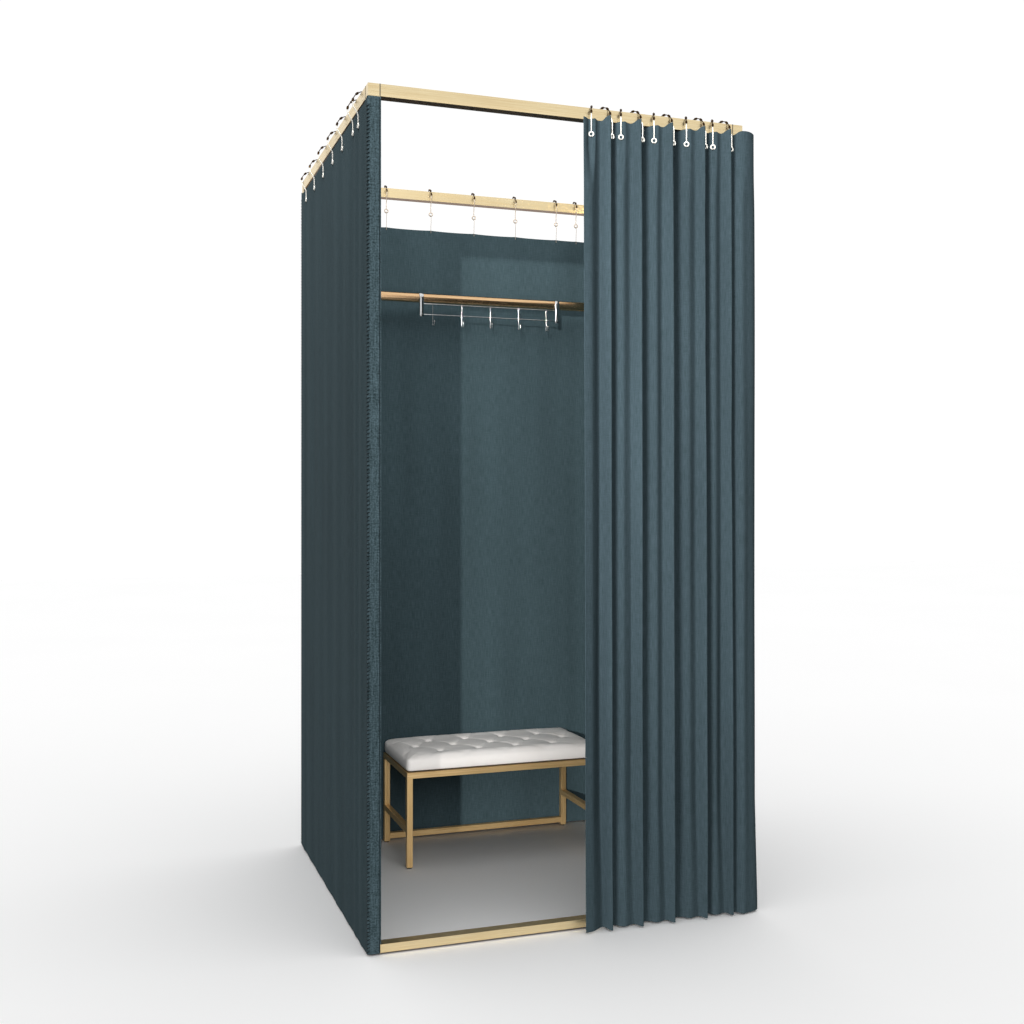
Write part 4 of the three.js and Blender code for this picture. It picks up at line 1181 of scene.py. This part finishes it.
class FrontCurtain(bpy.types.Operator):
    """The gathered front curtain, in panels parted at the rings; the leading panel rides on the first hook"""

    bl_idname = "fitting_room.front_curtain"
    bl_label = "Front curtain"

    def execute(self, context):
        cloth = cloth_finishes()[0]
        grid, along, columns = front_cloth()
        normals = sheet_normals(grid)
        last = len(columns) - 2
        for k, (a, b) in enumerate(zip(columns[:-1], columns[1:])):
            edges = ["hem", "top"] + ["left"] * (k == 0) + ["right"] * (k == last)
            span = np.s_[:, a:b + 1]
            form = Form()
            add_cloth(form, grid[span], normals[span], along[a:b + 1], edges)
            piece = make_piece(
                form, f"front_curtain_panel_{k + 1:02d}", [cloth], None, ["front_curtain"])
            start, end = (Vector(grid[-1, c] * MM + middle) for c in (a, b))
            hook = f"front_hook_{max(k, 1):02d}"
            if k == 0:
                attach(piece, hook)
            elif k < last:
                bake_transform(piece)
            else:
                end = Vector(((HALF_WIDTH + 2) * MM + middle[0], start.y, start.z))
                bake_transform(piece)
        return {"FINISHED"}


# Hook rack


def add_strap(form, low, high):
    """A flat strap bent over the rail, long at the front and short behind, with softened edges."""
    inner, thick, soft = RAIL_RADIUS + SEAT_GAP, 2.0, 0.5
    mean = inner + thick / 2
    centre_y, centre_z = RAIL_MIDDLE[1:]
    turn = np.linspace(math.pi, 0, 25)
    line = np.vstack([
        np.linspace((-mean, low[2] - centre_z), (-mean, 0), 8)[:-1],
        np.stack([mean * np.cos(turn), mean * np.sin(turn)], -1), [(mean, -5.0), (mean, -10.0)]])
    heading = unit(np.gradient(line, axis=0))
    across = np.stack([-heading[:, 1], heading[:, 0]], -1)
    half, x_middle = (high[0] - low[0]) / 2, (high[0] + low[0]) / 2
    corners = [(half - soft, 1), (half, 1 - soft), (half, -1 + soft), (half - soft, -1)]
    section = np.array([(soft - half, 1), *corners, (soft - half, -1), (-half, soft - 1), (-half, 1 - soft)])
    spots = line[:, None] + across[:, None] * section[None, :, 1:]
    x = np.broadcast_to(x_middle + section[:, 0], spots.shape[:2])
    points = np.dstack([x, spots + (centre_y, centre_z)])
    form.add(points, tube_faces(len(line), len(section)))
    # A round rivet head near the end of the long leg, where the lower cross wire is welded on
    rivet = np.array([x_middle, centre_y - inner - thick, low[2] + 7])
    form.add(*bead(rivet, np.array([0.0, 1.0, 0.0]), 2.2, 1.0, 14))


def add_cross_wire(form, low, high):
    """A straight round wire along X with domed ends."""
    radius = (high[2] - low[2]) / 2
    _, y, z = (low + high) / 2
    form.add(*sweep(np.linspace((low[0] + radius, y, z), (high[0] - radius, y, z), 7), radius, 14))


def add_coat_hook(form, low, high):
    """A wire coat hook: down behind the cross wires, round a bend to the front and up to a round tip."""
    radius, bend, ball = 1.25, 9.0, 3.0
    x = (low[0] + high[0]) / 2
    back_y = high[1] - radius
    turn = np.linspace(0, math.pi, 17)[1:]
    bend_z = low[2] + radius + bend
    path = np.vstack([
        np.linspace((x, back_y, high[2]), (x, back_y, bend_z), 9),
        np.stack([np.full(16, x), back_y - bend + bend * np.cos(turn), bend_z - bend * np.sin(turn)], -1),
        [[x, back_y - 2 * bend, bend_z + 3]]])
    form.add(*sweep(path, radius, 12))
    tip = path[-1] + np.array([0, 0, 2.0])
    steps = np.linspace(-0.98, 0.98, 9)
    upwards = tip + np.outer(steps * ball, (0, 0, 1))
    form.add(*sweep(upwards, ball * np.sqrt(1 - steps ** 2), 16, rounded=False))


class HookRack(bpy.types.Operator):
    """The chromed rack of straps, cross wires and coat hooks over the hanging rail"""

    bl_idname = "fitting_room.hook_rack"
    bl_label = "Hook rack"

    def execute(self, context):
        chrome = turned_metal(
            "chromed_steel_drawn", settings("metal").rack, linear("#a9abac"), 0.16, (260, 260, 60))
        parts = [(f"rack_strap_{side}_bent", add_strap, [f"rack_strap_{side}"]) for side in ("left", "right")]
        parts.append(("rack_cross_wires", add_cross_wire, ["rack_wire_upper", "rack_wire_lower"]))
        parts += [(f"rack_hook_{i}_wire", add_coat_hook, [f"rack_hook_{i}"]) for i in range(1, 6)]
        for name, add_part, nodes in parts:
            form = Form()
            for node in nodes:
                add_part(form, *node_box(node))
            make_piece(form, name, [chrome], "hook_rack", nodes)
        return {"FINISHED"}


# Bench


def tuft_offsets(x, y):
    """How far a place on the cushion's top lies from the nearest tuft, and from the nearest pleat."""
    u, v = x / TUFT_PITCH_X + y / TUFT_PITCH_Y / 2, x / TUFT_PITCH_X - y / TUFT_PITCH_Y / 2
    off_u, off_v = u - np.round(u), v - np.round(v)
    away = np.hypot((off_u + off_v) / 2 * TUFT_PITCH_X, (off_u - off_v) * TUFT_PITCH_Y)
    pleat = np.minimum(np.abs(off_u), np.abs(off_v)) * math.hypot(TUFT_PITCH_X, TUFT_PITCH_Y)
    return away, pleat


def cushion_shell():
    """The cushion's cover before it is filled: points and quads from the bottom edge over the top."""
    half_x, half_y = (CUSHION_HIGH - CUSHION_LOW)[:2] / 2
    low, edge_top = CUSHION_LOW[2] - CUSHION_SKIRT, CUSHION_LOW[2] + CUSHION_SIDE
    columns, rows = CUSHION_COLUMNS, CUSHION_ROWS

    def spread(i, j, inset):
        """Where a column and row lie across the cushion, when its outline is that far inside the box."""
        return (i / columns * 2 - 1) * (half_x - inset), (j / rows * 2 - 1) * (half_y - inset)

    def rounded_place(x, y, inset):
        over_x = np.maximum(np.abs(x) - (half_x - inset - CUSHION_CORNER), 0)
        over_y = np.maximum(np.abs(y) - (half_y - inset - CUSHION_CORNER), 0)
        excess = np.maximum(1 - CUSHION_CORNER / np.maximum(np.hypot(over_x, over_y), 1e-6), 0)
        return x - np.sign(x) * over_x * excess, y - np.sign(y) * over_y * excess

    border = (
        [(i, 0) for i in range(columns)] + [(columns, j) for j in range(rows)]
        + [(i, rows) for i in range(columns, 0, -1)] + [(0, j) for j in range(rows, 0, -1)])
    rim_i, rim_j = np.array(border, float).T
    points = []
    for inset, lift in CUSHION_LEVELS:
        x, y = rounded_place(*spread(rim_i, rim_j, inset), inset)
        points += list(zip(x, y, np.full(len(x), low + lift)))
    around = len(border)
    faces = tube_faces(len(CUSHION_LEVELS), around, capped=False)
    i, j = (grid.ravel() for grid in np.meshgrid(np.arange(1, columns), np.arange(1, rows)))
    for top in (True, False):
        x, y = spread(i, j, CUSHION_TOP_INSET if top else CUSHION_LEVELS[0][0])
        away, _ = tuft_offsets(x, y)
        reach = ease(np.minimum(half_x - np.abs(x), half_y - np.abs(y)) / 34)
        tuft = TUFT_START * np.exp(-(away / TUFT_WIDTH) ** 2)
        crown = edge_top + 1.0 + reach * (CROWN - tuft)
        first = (len(CUSHION_LEVELS) - 1) * around if top else 0
        index = {place: first + k for k, place in enumerate(border)}
        index.update({place: len(points) + k for k, place in enumerate(zip(i.tolist(), j.tolist()))})
        points += list(zip(x, y, crown if top else np.full(len(x), low)))
        for row, column in itertools.product(range(rows), range(columns)):
            face = [index[column + a, row + b] for a, b in ((0, 0), (1, 0), (1, 1), (0, 1))]
            faces.append(face if top else face[::-1])
    return np.array(points) + (*CUSHION_CENTRE[:2], 0), faces


def fill_cushion(piece, held):
    """Swells the cover with a cloth simulation whose tufts and bottom edge are held."""
    mesh, scene = piece.data, bpy.context.scene
    before = np.array([v.co for v in mesh.vertices])
    group = piece.vertex_groups.new(name="held")
    group.add([int(i) for i in np.flatnonzero(held)], 1.0, "REPLACE")
    cloth = piece.modifiers.new("filling", "CLOTH")
    behaviour = {
        "vertex_group_mass": "held", "quality": 6, "mass": 0.25, "tension_stiffness": 24,
        "compression_stiffness": 24, "shear_stiffness": 8, "bending_stiffness": 0.4, "use_pressure": True,
        "uniform_pressure_force": settings("cushion").pressure}
    for name, value in behaviour.items():
        setattr(cloth.settings, name, value)
    cloth.settings.effector_weights.gravity = 0
    cloth.collision_settings.use_collision = False
    for step in range(FILLING_STEPS):
        scene.frame_set(step + 1)
    filled = piece.evaluated_get(bpy.context.evaluated_depsgraph_get())
    moved = np.array([v.co for v in filled.data.vertices]) - before
    piece.modifiers.remove(cloth)
    scene.frame_set(1)
    reach = np.linalg.norm(moved, axis=1, keepdims=True)
    moved *= np.minimum(1, COVER_REACH / np.maximum(reach, 1e-9))
    mesh.vertices.foreach_set("co", (before + moved).astype(np.float32).ravel())
    mesh.update()


def cushion_place(points):
    """Where points lie from the cushion's middle, how far inside its edge, and which belong to its top."""
    x, y = (points[:, :2] - CUSHION_CENTRE[:2]).T
    inset = np.minimum(CUSHION_EDGE_X - np.abs(x), CUSHION_EDGE_Y - np.abs(y))
    return x, y, inset, points[:, 2] > CUSHION_LOW[2] + CUSHION_TOP_ABOVE


def settle_cushion(piece, depth):
    """Draws in the pleats that join the tufts, and keeps the cover inside the cushion's own box."""
    co = np.zeros(len(piece.data.vertices) * 3)
    piece.data.vertices.foreach_get("co", co)
    points = (co.reshape(-1, 3) - middle) / MM
    x, y, inset, on_top = cushion_place(points)
    away, pleat = tuft_offsets(x, y)
    reach = ease((inset - 8) / 30) * on_top
    crease = PLEAT_DEPTH * np.exp(-(pleat / PLEAT_WIDTH) ** 2) * ease(inset / 60)
    dimple = (depth - 5) * np.exp(-(away / BUTTON_WIDTH) ** 2)
    points[:, 2] -= reach * (crease + dimple)
    points = np.clip(points, CUSHION_LOW - [1.5, 1.5, CUSHION_SKIRT], CUSHION_HIGH + [1.5, 1.5, 3])
    piece.data.vertices.foreach_set("co", (points * MM + middle).astype(np.float32).ravel())
    piece.data.update()


def apply_modifiers(piece):
    """Keeps what a piece's modifiers make as its own mesh."""
    made = bpy.data.meshes.new_from_object(piece.evaluated_get(bpy.context.evaluated_depsgraph_get()))
    piece.modifiers.clear()
    piece.data = made


class Cushion(bpy.types.Operator):
    """The tufted seat cushion, filled by a cloth simulation"""

    bl_idname = "fitting_room.cushion"
    bl_label = "Seat cushion"

    def execute(self, context):
        choice = settings("cushion")
        cover = coated_upholstery("coated_upholstery_fabric", choice.cover)
        points, faces = cushion_shell()
        form = Form()
        form.add(points, faces)
        piece = make_piece(form, "bench_cushion_cover", [cover], None, ["bench_cushion"])
        x, y, inset, on_top = cushion_place(points)
        away, _ = tuft_offsets(x, y)
        low_edge = points[:, 2] < CUSHION_LOW[2] + 5
        held = (on_top & (away < TUFT_HELD) & (inset > 20)) | low_edge
        fill_cushion(piece, held)
        settle_cushion(piece, choice.tuft_depth / MM)
        smooth = piece.modifiers.new("fine cover", "SUBSURF")
        smooth.levels = 1
        smooth.render_levels = 1
        apply_modifiers(piece)
        piece.data.polygons.foreach_set("use_smooth", np.ones(len(piece.data.polygons), bool))
        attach(piece, "bench")
        return {"FINISHED"}


def bench_bars():
    """The corners of each bar of the bench: four legs, four seat rails, two side and one back stretcher."""
    low, high, tube, weld = BENCH_LOW, BENCH_HIGH, BENCH_TUBE, WELD_OVERLAP
    bars = []
    for x, y in itertools.product((low[0], high[0] - tube), (low[1], high[1] - tube)):
        bars.append(((x, y, low[2]), (x + tube, y + tube, high[2] - tube + weld)))
    for y in (low[1], high[1] - tube):
        bars.append(((low[0], y, high[2] - tube), (high[0], y + tube, high[2])))
    for x in (low[0], high[0] - tube):
        for top in (high[2], SIDE_STRETCHER + tube / 2):
            bars.append(((x, low[1] + tube - weld, top - tube), (x + tube, high[1] - tube + weld, top)))
    bars.append((
        (low[0] + tube - weld, high[1] - tube, BACK_STRETCHER - tube / 2),
        (high[0] - tube + weld, high[1], BACK_STRETCHER + tube / 2)))
    return bars


class Bench(bpy.types.Operator):
    """Brushed gold bench frame and its dark board"""

    bl_idname = "fitting_room.bench"
    bl_label = "Bench"

    def execute(self, context):
        metal = settings("metal")
        streaks = {"x": (9, 500, 500), "y": (500, 9, 500), "z": (500, 500, 9)}
        gold = [
            brushed_gold(f"lacquered_steel_bench_{axis}", metal.bench, metal.bench_shade, scale, metallic=0.6)
            for axis, scale in streaks.items()]
        form = Form()
        for low, high in bench_bars():
            add_bar(form, low, high, metal.edge / MM, paint=int(np.argmax(np.subtract(high, low))))
        make_piece(form, "bench_frame_bars", gold, "bench", ["bench_frame"])
        dress_node("bench_board", BOARD_EDGE, stained_fibreboard("stained_fibreboard"))
        return {"FINISHED"}


# Stage

FLOOR_HALF = 14000.0
FLAG_LEFT = 3500.0
FLAG_RIGHT = 2600.0
FLAG_Y = -1972.0
FLAG_LOW, FLAG_HIGH = 2348.0, 2468.0
SUN_COLOUR = (1.0, 0.985, 0.96)
SUN_SIZE = math.radians(0.8)
WHITE = (1.0, 1.0, 1.0)
CURTAIN_LIGHT = (1.0, 0.93, 0.96)
CURTAIN_FRONT_SHARE = 1.55
UNDER_HORIZON = 0.3
CAMERA_PLACE = (-1.1331, -3.2988, 1.102)
CAMERA_HEADING = math.radians(-19.164)
CAMERA_SHIFT = -0.01387
SENSOR_WIDTH = 36.0


def add_lamp(name, kind, energy, colour, travel, receivers):
    """A light of one kind that shines along a direction, and that only the receivers see."""
    light = bpy.data.lights.new(name, kind)
    light.energy = energy
    light.color = colour
    lamp = bpy.data.objects.new(name, light)
    lamp.rotation_euler = travel.to_track_quat("-Z", "Y").to_euler()
    bpy.context.scene.collection.objects.link(lamp)
    lamp.light_linking.receiver_collection = receivers
    return lamp


def soft_light(name, power, size, place, aim, receivers, colour=WHITE, shadow=True):
    """A square soft light from a place towards an aim, in metres."""
    lamp = add_lamp(name, "AREA", power, colour, Vector(aim) - Vector(place), receivers)
    lamp.data.shape = "SQUARE"
    lamp.data.size = size
    lamp.data.use_shadow = shadow
    lamp.location = place
    lamp.visible_camera = False
    lamp.visible_glossy = False


def lit_groups():
    """Which pieces each light falls on, apart from the stage: a collection for each kind of light."""
    groups = {name: bpy.data.collections.new(f"lit by the {name}") for name in (
        "key", "seat key", "overhead", "curtain side light", "room fill")}
    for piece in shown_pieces():
        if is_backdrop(piece):
            continue
        bench, folds = piece.name.startswith("bench"), piece.name.startswith("front_curtain")
        if not piece.name.startswith("left_curtain"):
            groups["seat key" if bench else "curtain side light" if folds else "key"].objects.link(piece)
        if not bench and not folds:
            groups["overhead"].objects.link(piece)
        if bench or piece.name == "back_curtain_cloth":
            groups["room fill"].objects.link(piece)
    return groups


def studio_world(backdrop):
    """An even backdrop, white down to just under the horizon and grey below it, as over a dark floor."""
    world = bpy.data.worlds.new("studio")
    world.use_nodes = True
    tree = world.node_tree
    around = add_node(tree, "TexCoord", output="Generated")
    level = add_node(tree, "SeparateXYZ", inputs={0: around}, output=2)
    strength = add_node(
        tree, "MapRange", inputs={0: level, 1: -0.3, 2: -0.1, 3: backdrop * UNDER_HORIZON, 4: backdrop})
    light = tree.nodes["Background"]
    light.inputs[0].default_value = (1, 1, 1, 1)
    tree.links.new(strength, light.inputs[1])
    return world


class Stage(bpy.types.Operator):
    """Pale floor, even studio light, key light through the doorway, and the camera"""

    bl_idname = "fitting_room.stage"
    bl_label = "Stage"

    def execute(self, context):
        stage, scene = settings("stage"), context.scene
        scene.view_settings.view_transform = "Standard"
        scene.world = studio_world(stage.backdrop)
        paint = grained(
            "painted_studio_floor", {"Roughness": 0.9, "Specular IOR Level": 0.0}, (0.7, 0.7, 0.7),
            linear("#fafafa"), linear("#fdfdfd"))
        floor, flag = Form(), Form()
        ticks = np.linspace(-FLOOR_HALF, FLOOR_HALF, 9)
        floor.add([(x, y, 0) for y in ticks for x in ticks], grid_faces(9, 9))
        # The flag throws the band of shade along the top of the back curtain.
        ends, heights = (-FLAG_LEFT, FLAG_RIGHT), (FLAG_LOW, FLAG_HIGH)
        flag.add([(x, FLAG_Y, z) for z in heights for x in ends], grid_faces(2, 2))
        for form, name in ((floor, "studio_floor"), (flag, "studio_flag")):
            piece = make_piece(form, name, [paint])
            piece.visible_diffuse = False
            piece.visible_camera = form is floor
            piece.visible_glossy = form is floor
            piece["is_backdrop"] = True
        groups = lit_groups()
        heading, fall = stage.key_heading, stage.key_fall
        travel = Vector((
            math.sin(heading) * math.cos(fall), math.cos(heading) * math.cos(fall), -math.sin(fall)))
        for name, strength, group in (("key", stage.key, "key"), ("seat_key", stage.seat_key, "seat key")):
            add_lamp(name, "SUN", strength, SUN_COLOUR, travel, groups[group]).data.angle = SUN_SIZE
        soft_light("overhead", stage.overhead, 3.2, (0, -0.1, 3.6), (0, -0.1, 0), groups["overhead"])
        soft_light("room_fill", stage.room_fill, 0.9, (-0.5, -1.8, 1.1), (0, 0.3, 0.3), groups["room fill"])
        folds = groups["curtain side light"]
        soft_light(
            "curtain_side", stage.curtain_side, 0.8, (-2.7, -2.35, 2.0), (0.3, -0.5, 1.1), folds,
            CURTAIN_LIGHT, shadow=False)
        soft_light(
            "curtain_front", stage.curtain_side * CURTAIN_FRONT_SHARE, 0.45, (-1.1, -1.9, 1.9),
            (0.25, -0.5, 1.2), folds, CURTAIN_LIGHT)
        camera = bpy.data.cameras.new("camera")
        camera.lens = stage.lens
        camera.sensor_width = SENSOR_WIDTH
        camera.shift_y = CAMERA_SHIFT
        viewer = bpy.data.objects.new("camera", camera)
        viewer.location = CAMERA_PLACE
        viewer.rotation_euler = (math.radians(90), 0, CAMERA_HEADING)
        scene.collection.objects.link(viewer)
        scene.camera = viewer
        return {"FINISHED"}


# Panel and running order

BUILDERS = (
    FrameFinish, HangingRail, WallCurtains, WallHooks, FrontHooks, FrontCurtain, HookRack, Bench, Cushion,
    Stage)
GROUPS = (
    ("fitting_room_cloth", ClothSettings), ("fitting_room_hook", HookSettings),
    ("fitting_room_metal", MetalSettings), ("fitting_room_cushion", CushionSettings),
    ("fitting_room_stage", StageSettings))


class FittingRoomPanel(bpy.types.Panel):
    """Lists the pieces of the fitting room, and their sizes and colours"""

    bl_idname = "VIEW3D_PT_fitting_room"
    bl_label = "Fitting Room"
    bl_space_type = "VIEW_3D"
    bl_region_type = "UI"
    bl_category = "Fitting Room"

    def draw(self, context):
        for builder in BUILDERS:
            self.layout.operator(builder.bl_idname)
        for name, group in GROUPS:
            column = self.layout.box().column()
            for choice in group.__annotations__:
                column.prop(getattr(context.scene, name), choice)


CLASSES = (*(group for _, group in GROUPS), *BUILDERS, FittingRoomPanel)


def register():
    for item in CLASSES:
        bpy.utils.register_class(item)
    for name, group in GROUPS:
        setattr(bpy.types.Scene, name, PointerProperty(type=group))


def unregister():
    for name, _ in GROUPS:
        delattr(bpy.types.Scene, name)
    for item in reversed(CLASSES):
        bpy.utils.unregister_class(item)


def main():
    register()
    for builder in BUILDERS:
        group, action = builder.bl_idname.split(".")
        getattr(getattr(bpy.ops, group), action)()


if __name__ == "__main__":
    main()
